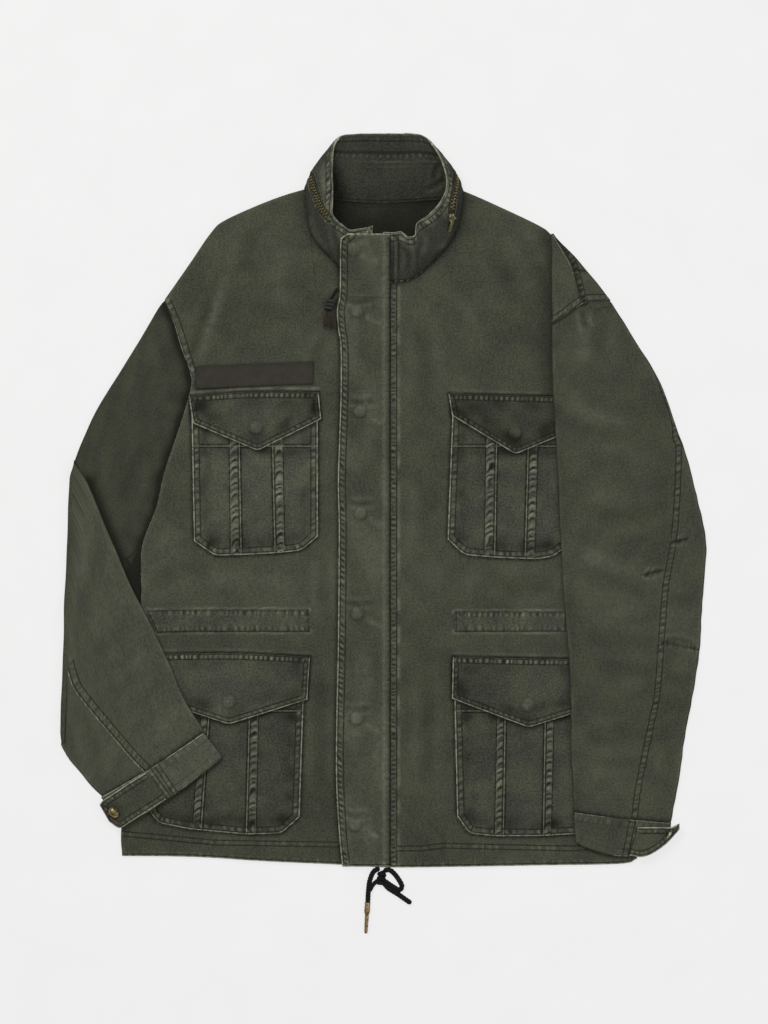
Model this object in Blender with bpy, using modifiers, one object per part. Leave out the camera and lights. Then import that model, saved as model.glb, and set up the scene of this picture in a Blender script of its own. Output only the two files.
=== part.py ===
"""Field jacket in heavy cotton twill, lying flat on its back with the sleeves turned in.

Lengths in the tables are millimetres. X is to the right of the front as it lies, +Y is towards the
collar, +Z is up, and the surface that the jacket lies on is z = 0. "Right" and "left" in the names
are the wearer's, so the right front is at -X.
"""

import math

import bmesh
import bpy
from mathutils import Matrix, Vector
from mathutils.bvhtree import BVHTree

# Driving dimensions, in millimetres.
CLOTH = 1.6  # body and sleeve twill with its turned seams
PATCH = 1.3  # pocket bags, tape and waist strips
FACED = 2.2  # two layers sewn together: placket, flaps, cuffs, tabs
COLLAR = 2.8  # collar with the folded hood inside
SEAM = 0.4  # air between pieces that are sewn edge to edge or lie on each other
EDGE_REACH = 1.5  # how far past the edge of a lower piece the piece on it still stays up
NECK_GAP = 1.8  # between the collar's round seam and the panels' straight-sided edges
PLEAT = 1.5  # height of a pocket pleat
PLEAT_SIDE = 1.2  # width of a pleat's sloping side
SLEEVE_EDGE = 5.0  # thickness of a flattened sleeve at its edges
SLEEVE_FULL = 6.6  # and along its middle
CUFF_HEIGHT = 7.0
CENTRE_FRONT = -7.0  # x of the main zip, under the placket
SNAP_RADIUS = 7.2
SNAP_HEIGHT = 2.4
CORD = 5.4  # hem drawcord diameter
ZIP_CORD = 2.8  # front zip puller diameter
ZIP_WIDTH = 5.2
ZIP_HEIGHT = 1.5

SIDES = {  # Edge of the body from the hem up to the top of the armhole: x, y.
    "right": ((-301, -408), (-302, -377), (-294, -298), (-288, -217), (-279, -116), (-279, -83),
              (-277, -49), (-261, -6), (-252, 33), (-232, 93), (-222, 128), (-222, 146), (-233, 177),
              (-241, 204), (-252, 231)),
    "left": ((291, -411), (291, -377), (284, -298), (277, -217), (269, -116), (269, -83), (267, -49),
             (251, -6), (241, 33), (222, 93), (212, 128), (212, 146), (223, 177), (231, 204), (244, 231)),
}
SHOULDERS = {  # From the armhole in to the collar: x, y.
    "right": ((-252, 231), (-223, 273), (-199, 308), (-182, 323), (-132, 345), (-95, 357)),
    "left": ((244, 231), (235, 259), (214, 282), (193, 305), (179, 316), (133, 338), (94, 355)),
}
HEMS = {  # From the side in to the centre front: x, y.
    "right": ((-301, -408), (-220, -409), (-136, -414), (-51, -418), (-7, -421)),
    "left": ((291, -411), (270, -417), (164, -419), (41, -421), (-7, -421)),
}
CREASE = ((-174, 268), (-185, 247), (-193, 222), (-205, 186), (-215, 158))  # fold in the right front
CREASE_RISE = 2.2
CREASE_ASIDE = 14.0  # from the fold's line to the middle of the swell on each side
CREASE_WIDTH = 26.0
NECK_LIFT = 2.6  # how far the front rises to the collar seam
NECK_LIFT_REACH = 55.0
BODY_CROWN = 1.3  # the front's own fullness over the back
CROWN_EDGE = 45.0  # how far from the side the fullness is complete

# Collar, from its right front end round the back of the neck to its left front end: the seam to the
# body, the free top edge, and how far the band bows out between them.
COLLAR_ROWS = (
    # seam x, y, z, top x, y, z, bow
    (-12, 251, 6.4, -13, 313, 32, 4),
    (-32, 257, 6.4, -26, 310, 34, 5),
    (-46, 265, 6.6, -38, 308, 37, 6),
    (-61, 277, 6.8, -47, 313, 41, 8),
    (-74, 291, 7.0, -55, 319, 44, 9),
    (-83, 308, 7.2, -60, 330, 45, 10),
    (-89, 328, 7.4, -59, 357, 39, 9),
    (-91, 347, 6.8, -60, 386, 27, 8),
    (-91, 358, 3.4, -59, 408, 12, 5),
    (-78, 353, 0.6, -51, 419, 2.0, 1),
    (-56, 346, 0, -37, 421, 0, 0),
    (-22, 343, 0, -21, 422, 0, 0),
    (15, 343, 0, 13, 421.5, 0, 0),
    (47, 345, 0, 30, 421.5, 0, 0),
    (68, 347, 0, 43, 420, 0, 0),
    (82, 352, 0.8, 53, 415, 2.4, 1),
    (91, 356, 4.0, 60, 405, 12, 4),
    (90, 341, 6.8, 68, 388, 26, 7),
    (85, 316, 7.2, 73, 362, 38, 9),
    (76, 297, 7.0, 66, 340, 43, 10),
    (61, 277, 6.8, 53, 326, 44, 9),
    (41, 259, 6.6, 39, 316, 41, 7),
    (26, 251, 6.5, 27, 303, 37, 5),
    (10, 248, 6.4, 12, 305, 34.5, 4),
    (-3, 247, 6.4, -1, 305, 33, 4),
)

SHOULDER_ROWS = (8, 16)  # the collar's rows where the right and the left shoulder meet it
NECK_CENTRE = Vector((-1, 330, 6))  # the band bows away from here
BOW_LIFT = 8.0
BOW_SHARE = 3.6  # makes the bow its full depth a little short of half way up

# Flattened tubes, a row for each cross-section: edge a x, y, edge b x, y, and how far the row bends
# at its middle, to the right of the way from a to b.
UPPER_ARM = (
    (-244, 232, -251, -102, -41), (-254, 228, -260, -121, -34), (-269, 205, -271, -139, -25),
    (-285, 179, -284, -160, -17), (-301, 153, -299, -183, -11), (-317, 128, -315, -208, -7),
    (-334, 99, -332, -233, -3), (-345, 74, -350, -258, -1), (-353, 47, -366, -277, 0),
)
FOREARM = (
    (-340, 22, -366, -283, 0), (-322, -23, -365, -290, 0), (-302, -70, -360, -299, 0),
    (-282, -112, -353, -307, 0), (-261, -153, -346, -315, 0), (-244, -191, -339, -324, 0),
    (-227, -229, -332, -332, 0), (-206, -264, -325, -339, -2),
)
LEFT_SHOULDER = (
    (193, 297, 200, 299, 0), (192, 275, 222, 277, 0), (192, 245, 245, 250, -2), (193, 205, 260, 231, -7),
)
LEFT_SLEEVE = (
    (193, 202, 261, 228, -7), (193, 174, 286, 189, -3), (193, 137, 309, 151, 0), (195, 95, 325, 118, 0),
    (197, 59, 337, 83, 0), (200, 10, 350, 44, 0), (202, -39, 360, 5, 0), (204, -82, 370, -46, 0),
    (207, -120, 369, -82, 0), (210, -160, 365, -128, 0), (213, -206, 363, -174, 0),
    (214, -246, 353, -232, 0), (214, -286, 346, -275, 0), (216, -327, 339, -321, 0),
    (217, -356, 330, -369, 1),
)
RIGHT_CUFF = ((-206, -265, -325, -340, -2), (-195, -279, -314, -358, -3), (-185, -294, -302, -375, -4))
LEFT_CUFF = ((217, -357, 330, -370, 1), (218, -375, 328, -383, 7), (220, -392, 322, -396, 14))

# Cuff tabs: sewn end, middle and free end, each from the collar side to the hem side.
RIGHT_TAB = (
    ((-273, -311), (-250, -342)), ((-292, -323), (-270, -355)), ((-310, -335), (-289, -367)),
    ((-322, -343), (-303, -375)), ((-327, -349), (-316, -368)),
)
LEFT_TAB = (
    ((291, -374), (282, -406)), ((309, -374), (296, -408)), ((320, -374), (310, -403)),
    ((330, -374), (325, -392)), ((339, -370), (339, -377)),
)
RIGHT_TAB_SNAP = (-309.5, -357)
LEFT_TAB_SNAP = (327, -382)
TAB_SNAP_RADIUS = 7.0
TAB_SNAP_HEIGHT = 3.4
TAB_CURL = 9.0  # how far the left tab's free end curls up

PLACKET_SEAM = 6.0  # x of the straight seam that the placket is sewn on by
PLACKET = (  # Free edge of the placket from the hem up: x, y.
    (-48, -420), (-52, -379), (-55, -322), (-55, -260), (-53, -160), (-52, -32), (-53, 24), (-50, 120),
    (-50, 176), (-53, 199), (-54, 221), (-51, 238), (-50, 294), (-47, 301), (-41, 305),
)
PLACKET_SNAPS = ((-31, 218), (-28, 103), (-27, -14), (-31, -129), (-32, -250), (-33, -372))

# Pocket bags: the top and bottom x of each edge and pleat side, the top y, and the bottom outline.
POCKETS = {
    "right_chest": {
        "top": 112,
        "edges": ((-221, -218), (-178, -176), (-167, -164), (-129, -125), (-117, -114), (-76, -76)),
        "bottom": ((-218, -46), (-194, -63), (-163, -62), (-123, -60), (-95, -57), (-76, -41)),
    },
    "left_chest": {
        "top": 112,
        "edges": ((79, 73), (118, 115), (130, 127), (167, 162), (178, 173), (219, 216)),
        "bottom": ((73, -44), (92, -62), (126, -65), (175, -67), (194, -64), (216, -48)),
    },
    "right_lower": {
        "top": -190,
        "edges": ((-270, -269), (-206, -220), (-197, -210), (-153, -158), (-143, -147), (-91, -97)),
        "bottom": ((-269, -357), (-259, -370), (-223, -377), (-159, -383), (-118, -382), (-97, -363)),
    },
    "left_lower": {
        "top": -190,
        "edges": ((80, 84), (131, 127), (140, 137), (186, 183), (196, 192), (252, 250)),
        "bottom": ((84, -362), (98, -382), (127, -385), (175, -385), (230, -382), (250, -364)),
    },
}
POCKET_CROWN = 1.2
BAG_EDGE = 6.0  # width of the flat stitched edge down each side of a bag
BAG_FOOT = 30.0  # how far up from the bottom seam a bag is at its full crown
PLEAT_FADE = 8.0  # how far below the mouth's hem a pleat is at its full height
MOUTH_HEM = {"chest": 63, "lower": -241}  # y of the mouth's hem, under which the pleats start

FLAPS = {  # Top edge, then the lower edge with its point: x, y, left to right.
    "right_chest": {
        "top": ((-224, 120), (-156, 125), (-75, 125)),
        "bottom": ((-219, 89), (-145, 57.5), (-72, 94)),
        "snap": (-147, 84),
    },
    "left_chest": {
        "top": ((74, 123), (150, 121), (227, 119)),
        "bottom": ((78, 98), (151, 53.5), (224, 84)),
        "snap": (150, 78),
    },
    "right_lower": {
        "top": ((-271, -176), (-175, -175), (-85, -179)),
        "bottom": ((-268, -227), (-178, -256.5), (-88, -228)),
        "snap": (-178, -230),
    },
    "left_lower": {
        "top": ((79, -179), (168, -181), (255, -182)),
        "bottom": ((78, -227), (166, -260), (252, -233)),
        "snap": (165, -233.5),
    },
}

NAME_TAPE = ((-216, 154), (-82, 159), (-82, 130), (-216, 127))
WAIST_STRIPS = {  # Upper edge, then lower edge: x, y.
    "right": (((-273, -126), (-225, -125), (-86, -125)), ((-261, -151), (-225, -150), (-85, -150))),
    "left": (((81, -127), (150, -127), (210, -127)), ((81, -150), (150, -150), (210, -150))),
}

# The zip of the hood's compartment in the collar, from the collar's side down to each end: x, y.
COLLAR_ZIPS = {
    "right": ((-83.5, 372), (-81, 361), (-76, 346), (-70, 332), (-61.5, 321)),
    "left": ((82.5, 373), (81.8, 359), (78.5, 344), (76.5, 330)),
}
SLIDER_AT = ((76.3, 328), (75.6, 319))  # its upper and lower end
ZIP_LIFT = 1.2  # of the zip's tape over the collar's cloth
SLIDER_SIZE = (9.0, 6.4, 1.8)  # along the zip, across it, up
POST = (1.9, 1.1)  # of the slider's two posts, along the zip and across it
BRIDGE_RADIUS = 0.7
BRIDGE_HEIGHT = 2.7  # of the bar's centre over the slider's top
EYE_RADIUS = 2.2
EYE_WIDTH = 1.6
BAR_PLAY = 0.35  # between the bar and the eye round it
PULL_LENGTH = 18.0
PULL_WIDTH = 4.2
PULL_THICKNESS = 1.1
PULL_DROP = 22.0  # degrees that the resting pull tab slopes down from the slider to the collar

HEM_CORD_TIP_END = ((-10, -424), (-14, -428.5), (-17, -435), (-17.5, -443), (-18, -452), (-19, -460))
HEM_TIP = ((-19, -460.5), (-21, -497))
HEM_KNOT = (-3, -433)
HEM_KNOT_SIZE = (11, 21, 8.4)
HEM_LOOP = ((3.4, -428), (8, -427.6), (13, -431), (18, -437.5), (19.5, -443.5), (15.5, -444.6),
            (10, -441), (4.2, -436.6))
HEM_CORD_BARE_END = ((4.6, -445.6), (10, -449.5), (17, -454), (24, -458.7), (31, -463))
ZIP_CORD_ROUTE = ((-53.2, 244), (-56.2, 239.6), (-59.3, 234.4))
ZIP_KNOT = (-62.5, 228)
ZIP_KNOT_SIZE = (10, 11.5, 6.4)
ZIP_TASSEL = ((-64, 221), (-64.5, 196))
TASSEL_WIDTH = (3.0, 7.0)  # half width at its head and at its frayed end
TASSEL_FLAT = 0.42  # its height as a share of its width
STRAND_GROOVE = 0.32  # depth between strands at the end, as a share of the half width
TIP_PROFILE = (  # Radius, and the share of the tip's length from the cord on.
    (1.5, 1.0), (1.9, 0.93), (2.1, 0.45), (3.0, 0.36), (3.1, 0.0),
)
TIP_HEIGHT = 3.6  # of the tip's axis where it takes the cord
TIP_SLOPE = -0.03
KNOT_LOBE = 0.07  # how far a knot's turns of cord swell past its oval

COLOURS = {  # Linear RGB, roughness, metallic.
    "twill": ((0.052, 0.056, 0.043), 0.92, 0.0),
    "pocket_twill": ((0.042, 0.045, 0.035), 0.92, 0.0),
    "tape": ((0.036, 0.028, 0.025), 0.9, 0.0),
    "brass": ((0.36, 0.25, 0.10), 0.42, 1.0),
    "cord": ((0.012, 0.012, 0.012), 0.8, 0.0),
}

MM = 0.001
UP = Vector((0, 0, 1))
ABOVE = 300.0  # height, over every piece, that surfaces are looked for from


# ---------------------------------------------------------------- curves and grids


def flat(rows):
    """Table rows as points; a missing height is zero."""
    return [Vector((row[0], row[1], row[2] if len(row) > 2 else 0.0)) for row in rows]


def smooth(points, steps=6):
    """A Catmull-Rom curve through the points."""
    padded = [2 * points[0] - points[1], *points, 2 * points[-1] - points[-2]]
    curve = []
    for a, b, c, d in zip(padded, padded[1:], padded[2:], padded[3:]):
        for step in range(steps):
            curve.append(between(a, b, c, d, step / steps))
    curve.append(points[-1])
    return curve


def between(a, b, c, d, t):
    """The point a share t of the way from b to c on the curve through all four."""
    return 0.5 * (2 * b + (c - a) * t + (2 * a - 5 * b + 4 * c - d) * t**2 + (3 * b - a - 3 * c + d) * t**3)


def spread(path, count):
    """count points at even distances along a path."""
    reach = [0.0]
    for a, b in zip(path, path[1:]):
        reach.append(reach[-1] + (b - a).length)
    points = []
    k = 0
    for i in range(count):
        target = reach[-1] * i / (count - 1)
        while k < len(path) - 2 and reach[k + 1] < target:
            k += 1
        share = (target - reach[k]) / max(reach[k + 1] - reach[k], 1e-9)
        points.append(path[k].lerp(path[k + 1], min(max(share, 0.0), 1.0)))
    return points


def along(rows, count):
    return spread(smooth(flat(rows)), count)


def height_at(rows, x):
    """y of a polyline, given left to right, at x."""
    for (xa, ya), (xb, yb) in zip(rows, rows[1:]):
        if x <= xb or (xb, yb) == rows[-1]:
            return ya + (yb - ya) * (x - xa) / (xb - xa)
    return rows[-1][1]


def fill(bottom, top, left, right):
    """Rows of points inside four edge curves that meet at their ends."""
    rows = []
    for j, (a, b) in enumerate(zip(left, right)):
        v = j / (len(left) - 1)
        row = []
        for i, (c, d) in enumerate(zip(bottom, top)):
            u = i / (len(bottom) - 1)
            corners = (bottom[0].lerp(bottom[-1], u)).lerp(top[0].lerp(top[-1], u), v)
            row.append(a.lerp(b, u) + c.lerp(d, v) - corners)
        rows.append(row)
    return rows


def distance(point, path):
    """Distance in plan from a point to a path."""
    best = 1e9
    for a, b in zip(path, path[1:]):
        run = (b - a).to_2d()
        share = (point - a).to_2d().dot(run) / max(run.length_squared, 1e-9)
        nearest = a.to_2d() + run * min(max(share, 0.0), 1.0)
        best = min(best, (point.to_2d() - nearest).length)
    return best


def ease(share):
    share = min(max(share, 0.0), 1.0)
    return share * share * (3 - 2 * share)


# ---------------------------------------------------------------- objects


def clear_scene():
    for item in list(bpy.data.objects):
        bpy.data.objects.remove(item, do_unlink=True)


def material(name):
    """The Principled material of one finish, made once for each node that asks."""
    colour, roughness, metallic = COLOURS[name]
    made = bpy.data.materials.new(name)
    made.use_nodes = True
    shader = made.node_tree.nodes["Principled BSDF"]
    shader.inputs["Base Color"].default_value = (*colour, 1.0)
    shader.inputs["Roughness"].default_value = roughness
    shader.inputs["Metallic"].default_value = metallic
    made.diffuse_color = (*colour, 1.0)
    return made


class Garment:
    """The jacket's collection, and the surfaces that later pieces lie on."""

    def __init__(self, name):
        self.collection = bpy.data.collections.new(name)
        bpy.context.scene.collection.children.link(self.collection)
        self.surfaces = {}

    def add(self, name, data, finish):
        piece = bpy.data.objects.new(name, data)
        piece.data.materials.append(material(finish))
        self.collection.objects.link(piece)
        return piece

    def mesh(self, name, points, faces, finish):
        """An object from points in millimetres."""
        data = bpy.data.meshes.new(name)
        data.from_pydata([point * MM for point in points], [], faces)
        data.update()
        return self.add(name, data, finish)

    def sheet(self, name, rows, thickness, finish, side=1):
        """A grid of points as a wall. side 1 puts the thickness over the grid, -1 behind it."""
        piece = self.mesh(name, [point for row in rows for point in row], grid_faces(rows), finish)
        thicken(piece, thickness, side)
        self.keep(name)
        return piece

    def tube(self, name, rings, thickness, finish):
        """Rings of points as a tube whose wall lies inside them."""
        faces = ring_faces(rings)
        k = len(rings[0]) // 4
        if (rings[0][k + 1] - rings[0][k]).cross(rings[1][k] - rings[0][k]).z < 0:
            faces = [tuple(reversed(face)) for face in faces]
        piece = self.mesh(name, [point for ring in rings for point in ring], faces, finish)
        thicken(piece, thickness, -1)
        self.keep(name)
        return piece

    def keep(self, name):
        """Remember the finished shape of a piece, so that others can lie on it."""
        graph = bpy.context.evaluated_depsgraph_get()
        graph.update()
        self.surfaces[name] = BVHTree.FromObject(bpy.data.objects[name], graph)

    def top(self, point, lower, reach, spokes=8):
        """The highest point of the lower pieces within reach of a point, in millimetres."""
        around = [(0.0, 0.0)]
        for k in range(spokes):
            angle = 2 * math.pi * k / spokes
            around.append((reach * math.cos(angle), reach * math.sin(angle)))
        best = 0.0
        for name in lower:
            for dx, dy in around:
                start = Vector((point.x + dx, point.y + dy, ABOVE)) * MM
                hit = self.surfaces[name].ray_cast(start, -UP)[0]
                if hit:
                    best = max(best, hit.z / MM)
        return best

    def settle(self, rows, lower, reach, rounds=6, own=None):
        """Lay a grid on the lower pieces: lifted clear of them, then evened out as cloth is."""
        floor = []
        for row in rows:
            under = [self.top(point, lower, reach) for point in row]
            floor.append([z + SEAM if z > 0 else 0.0 for z in under])
        if own:
            floor = [[z + own(point) for z, point in zip(zs, row)] for zs, row in zip(floor, rows)]
        heights = even_out(floor, rounds)
        laid = [[Vector((point.x, point.y, z)) for point, z in zip(row, zs)]
                for row, zs in zip(rows, heights)]
        self.clear(laid, lower)
        return laid

    def clear(self, rows, lower, cuts=6, passes=8):
        """Raise a laid grid wherever one of its faces would cut into what is under it."""
        found = []
        for j in range(len(rows) - 1):
            for i in range(len(rows[0]) - 1):
                corners = (rows[j][i], rows[j][i + 1], rows[j + 1][i + 1], rows[j + 1][i])
                for n in range(cuts + 1):
                    for m in range(cuts + 1):
                        for weights in halves(n / cuts, m / cuts):
                            spot = sum((c * w for c, w in zip(corners, weights)), Vector())
                            needed = self.top(spot, lower, EDGE_REACH, spokes=4)
                            if needed > 0:
                                found.append((corners, weights, needed + SEAM))
        for _ in range(passes):
            for corners, weights, needed in found:
                short = needed - sum(c.z * w for c, w in zip(corners, weights))
                if short > 0:
                    spread_out = sum(w * w for w in weights)
                    for corner, weight in zip(corners, weights):
                        corner.z += short * weight / spread_out


def halves(s, t):
    """Weights of a face's four corners at a place in it, for its split along either diagonal."""
    one = (1 - s, s - t, t, 0) if s >= t else (1 - t, 0, s, t - s)
    other = (1 - s - t, s, 0, t) if s + t <= 1 else (0, 1 - t, s + t - 1, 1 - s)
    return one, other


def even_out(floor, rounds):
    """Average each height with its neighbours, never going below the floor."""
    heights = [list(row) for row in floor]
    last_row = len(floor) - 1
    last = len(floor[0]) - 1
    for _ in range(rounds):
        before = [list(row) for row in heights]
        for j, row in enumerate(before):
            for i, height in enumerate(row):
                near = (before[max(j - 1, 0)][i] + before[min(j + 1, last_row)][i]
                        + row[max(i - 1, 0)] + row[min(i + 1, last)])
                heights[j][i] = max(floor[j][i], 0.5 * height + 0.125 * near)
    return heights


def grid_faces(rows):
    width = len(rows[0])
    faces = []
    for j in range(len(rows) - 1):
        for i in range(width - 1):
            a = j * width + i
            faces.append((a, a + 1, a + width + 1, a + width))
    return faces


def ring_faces(rings):
    width = len(rings[0])
    faces = []
    for j in range(len(rings) - 1):
        for i in range(width):
            a = j * width + i
            b = j * width + (i + 1) % width
            faces.append((a, b, b + width, a + width))
    return faces


def thicken(piece, thickness, side):
    """Give an open surface its wall, on the side that its normals face (1) or behind them (-1)."""
    wall = piece.modifiers.new("wall", "SOLIDIFY")
    wall.thickness = thickness * MM
    wall.offset = side
    wall.use_rim = True


def make_mesh(piece):
    """Turn a curve object with loose caps into one closed mesh of the same name."""
    graph = bpy.context.evaluated_depsgraph_get()
    graph.update()
    data = bpy.data.meshes.new_from_object(piece.evaluated_get(graph))
    work = bmesh.new()
    work.from_mesh(data)
    bmesh.ops.remove_doubles(work, verts=work.verts, dist=1e-6)
    work.to_mesh(data)
    work.free()
    return data


def cord(garment, name, route, diameter, finish, spacing=2.4):
    """A round cord along a smooth curve through its route's points."""
    path = smooth(flat(route), 8)
    length = sum((b - a).length for a, b in zip(path, path[1:]))
    points = spread(path, max(4, round(length / (spacing * diameter / 2)) + 1))
    data = bpy.data.curves.new(name, "CURVE")
    data.dimensions = "3D"
    data.bevel_depth = diameter / 2 * MM
    data.bevel_resolution = 2
    data.use_fill_caps = True
    spline = data.splines.new("POLY")
    spline.points.add(len(points) - 1)
    for target, point in zip(spline.points, points):
        target.co = (*(point * MM), 1.0)
    return garment.add(name, data, finish)


def turned(garment, name, profile, finish, steps=20):
    """A turned piece from a profile of radius and height, top centre first."""
    points = [Vector((radius, 0, height)) for radius, height in profile]
    edges = [(i, i + 1) for i in range(len(points) - 1)]
    data = bpy.data.meshes.new(name)
    data.from_pydata([point * MM for point in points], edges, [])
    piece = garment.add(name, data, finish)
    screw = piece.modifiers.new("turn", "SCREW")
    screw.steps = steps
    screw.render_steps = steps
    screw.use_merge_vertices = True
    screw.merge_threshold = 0.00001
    return piece


def dome_profile(radius, height, rings=3):
    """Half of a button's outline, from the top centre out and down to the bottom centre."""
    rows = [(radius * math.sin(k * math.pi / 2 / rings), height * math.cos(k * math.pi / 2 / rings))
            for k in range(rings)]
    return [*rows, (radius, 0.12 * height), (radius, 0), (0, 0)]


# ---------------------------------------------------------------- body


def neckline(side):
    """The body's edge at the collar seam, from the shoulder to the centre front."""
    first, last = SHOULDER_ROWS
    rows = COLLAR_ROWS[first::-1] if side == "right" else COLLAR_ROWS[last:]
    points = flat([(row[0], row[1]) for row in rows])
    points.append(Vector((CENTRE_FRONT, points[-1].y - 1, 0)))
    moved = [flat(SHOULDERS[side])[-1]]
    for before, point, after in zip(points, points[1:], points[2:]):
        away = (after - before).cross(UP).normalized()
        if side == "left":
            away = -away
        moved.append(point + away * NECK_GAP)
    moved.append(points[-1] - Vector((0, NECK_GAP, 0)))
    return moved


def build_back(garment):
    """The back lies flat on the surface. Its outline is the two sides, the shoulders and the neck."""
    first, last = SHOULDER_ROWS
    neck = [(row[0], row[1] - NECK_GAP) for row in COLLAR_ROWS[first:last + 1]]
    outline = [
        *along(HEMS["right"], 8)[:-1], *reversed(along(HEMS["left"], 8)),
        *along(SIDES["left"], 22)[1:], *along(SHOULDERS["left"], 10)[1:-1],
        *reversed(flat(neck)), *list(reversed(along(SHOULDERS["right"], 10)))[1:],
        *list(reversed(along(SIDES["right"], 22)))[1:-1],
    ]
    data = bpy.data.curves.new("back", "CURVE")
    data.dimensions = "2D"
    data.fill_mode = "BOTH"
    data.extrude = CLOTH / 2 * MM
    spline = data.splines.new("POLY")
    spline.points.add(len(outline) - 1)
    for target, point in zip(spline.points, outline):
        target.co = (point.x * MM, point.y * MM, 0, 1)
    spline.use_cyclic_u = True
    piece = garment.add("back", data, "twill")
    piece.location.z = CLOTH / 2 * MM
    closed = make_mesh(piece)
    bpy.data.objects.remove(piece, do_unlink=True)
    closed.transform(Matrix.Translation((0, 0, CLOTH / 2 * MM)))
    garment.add("back", closed, "twill")
    garment.keep("back")


def build_front(garment, side, columns=13, rows=22):
    """A front panel from the hem to the shoulder and collar, over the back and the tucked sleeve."""
    sign = 1 if side == "right" else -1
    neck_path = smooth(neckline(side))
    neck = spread(neck_path, 7)
    top = [*along(SHOULDERS[side], columns - 6)[:-1], *neck]
    centre_x = CENTRE_FRONT - sign * SEAM
    top[-1].x = centre_x
    bottom = along(HEMS[side], columns)
    bottom[-1].x = centre_x
    edge = along(SIDES[side], rows)
    centre = spread([bottom[-1], top[-1]], rows)
    grid = fill(bottom, top, edge, centre)
    if side == "left":
        grid = [list(reversed(row)) for row in grid]
    side_path = flat(SIDES[side])
    shoulder_path = flat(SHOULDERS[side])
    crease = flat(CREASE)

    def own(point):
        """Fullness over the back, a lift to the collar seam and the right front's soft fold."""
        rise = BODY_CROWN * ease(distance(point, side_path) / CROWN_EDGE)
        rise *= ease(distance(point, shoulder_path) / CROWN_EDGE + 0.2)
        rise += NECK_LIFT * ease(1 - distance(point, neck_path) / NECK_LIFT_REACH)
        if side == "right":
            rise += CREASE_RISE * ease(1 - abs(distance(point, crease) - CREASE_ASIDE) / CREASE_WIDTH)
        return rise

    lower = ["back", "upper_arm"] if side == "right" else ["back"]
    grid = garment.settle(grid, lower, 9, rounds=3, own=own)
    garment.sheet(f"front_{side}", grid, CLOTH, "twill")


# ---------------------------------------------------------------- sleeves

EDGE_ROLL = ((0.0, 0.0), (0.6, 0.64), (2.2, 1.0))  # distance in from a tube's edge, share of half height
ACROSS = (0.10, 0.24, 0.42, 0.60, 0.78, 0.91)  # places across a tube between its edges


def tube_row(row):
    """Points in plan across one cross-section, with each one's share of the half height."""
    a, b = Vector((row[0], row[1], 0)), Vector((row[2], row[3], 0))
    run = b - a
    width = run.length
    way = run / width
    bend = Vector((way.y, -way.x, 0)) * row[4]
    places = [(inset / width, share) for inset, share in EDGE_ROLL]
    places += [(place, 1.0) for place in ACROSS]
    places += [(1 - inset / width, share) for inset, share in reversed(EDGE_ROLL)]
    return [(a + run * s + bend * 4 * s * (1 - s), s, share) for s, share in places]


def lay_tube(garment, table, lower, reach, rounds, edge=SLEEVE_EDGE, full=SLEEVE_FULL):
    """A flattened tube's rows as (point below, point above) pairs, resting on the lower pieces."""
    plan = [tube_row(row) for row in table]
    grid = garment.settle([[point for point, _, _ in row] for row in plan], lower, reach, rounds)
    laid = []
    for row, places in zip(grid, plan):
        pairs = []
        for point, (_, s, share) in zip(row, places):
            height = edge + (full - edge) * math.sin(math.pi * s)
            middle = point + UP * height / 2
            pairs.append((middle - UP * height / 2 * share, middle + UP * height / 2 * share))
        laid.append(pairs)
    return laid


def ring_of(pairs):
    """One closed ring: over the top from edge a to edge b, then back underneath."""
    return [high for _, high in pairs] + [low for low, _ in reversed(pairs[1:-1])]


def build_upper_arm(garment):
    """Rows of the right sleeve down to its fold, kept as a surface for the front to lie on."""
    laid = lay_tube(garment, UPPER_ARM, ["back"], 6, 4, full=SLEEVE_EDGE)
    rings = [ring_of(pairs) for pairs in laid]
    faces = [tuple(reversed(face)) for face in ring_faces(rings)]
    points = [point * MM for ring in rings for point in ring]
    garment.surfaces["upper_arm"] = BVHTree.FromPolygons(points, faces)
    return laid


def fold_over(pairs, turns=(45, 90, 135, 180)):
    """The last row of the upper arm turned up and over its own line, where the sleeve folds."""
    a, b = pairs[0][0], pairs[-1][0]
    way = (b - a).normalized()
    out = Vector((way.y, -way.x, 0)).normalized()
    rows = []
    for turn in turns:
        angle = math.radians(turn)
        row = []
        for low, high in pairs:
            pivot = max(p.z for _, p in pairs) + SEAM / 2
            moved_pair = []
            for point in (low, high):
                radius = pivot - point.z
                moved = point + out * radius * math.sin(angle)
                moved.z = pivot - radius * math.cos(angle)
                moved_pair.append(moved)
            row.append(tuple(moved_pair))
        rows.append(row)
    return rows


def build_right_sleeve(garment, upper):
    """The whole right sleeve: up the arm to the fold, over it, and down the forearm to the cuff."""
    lower = ["back", "upper_arm", "front_right", "right_waist_strip", "right_lower_bag",
             "right_lower_flap", "right_chest_bag"]
    folded = fold_over(upper[-1])
    forearm = lay_tube(garment, FOREARM, lower, 7, 5)
    turned_back = [[(high, low) for low, high in pairs] for pairs in forearm]
    rings = [ring_of(pairs) for pairs in [*upper, *folded, *turned_back]]
    garment.tube("right_sleeve", rings, CLOTH, "twill")


def build_tube(garment, name, table, lower, reach, rounds, thickness, finish, **heights):
    laid = lay_tube(garment, table, lower, reach, rounds, **heights)
    garment.tube(name, [ring_of(pairs) for pairs in laid], thickness, finish)


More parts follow.
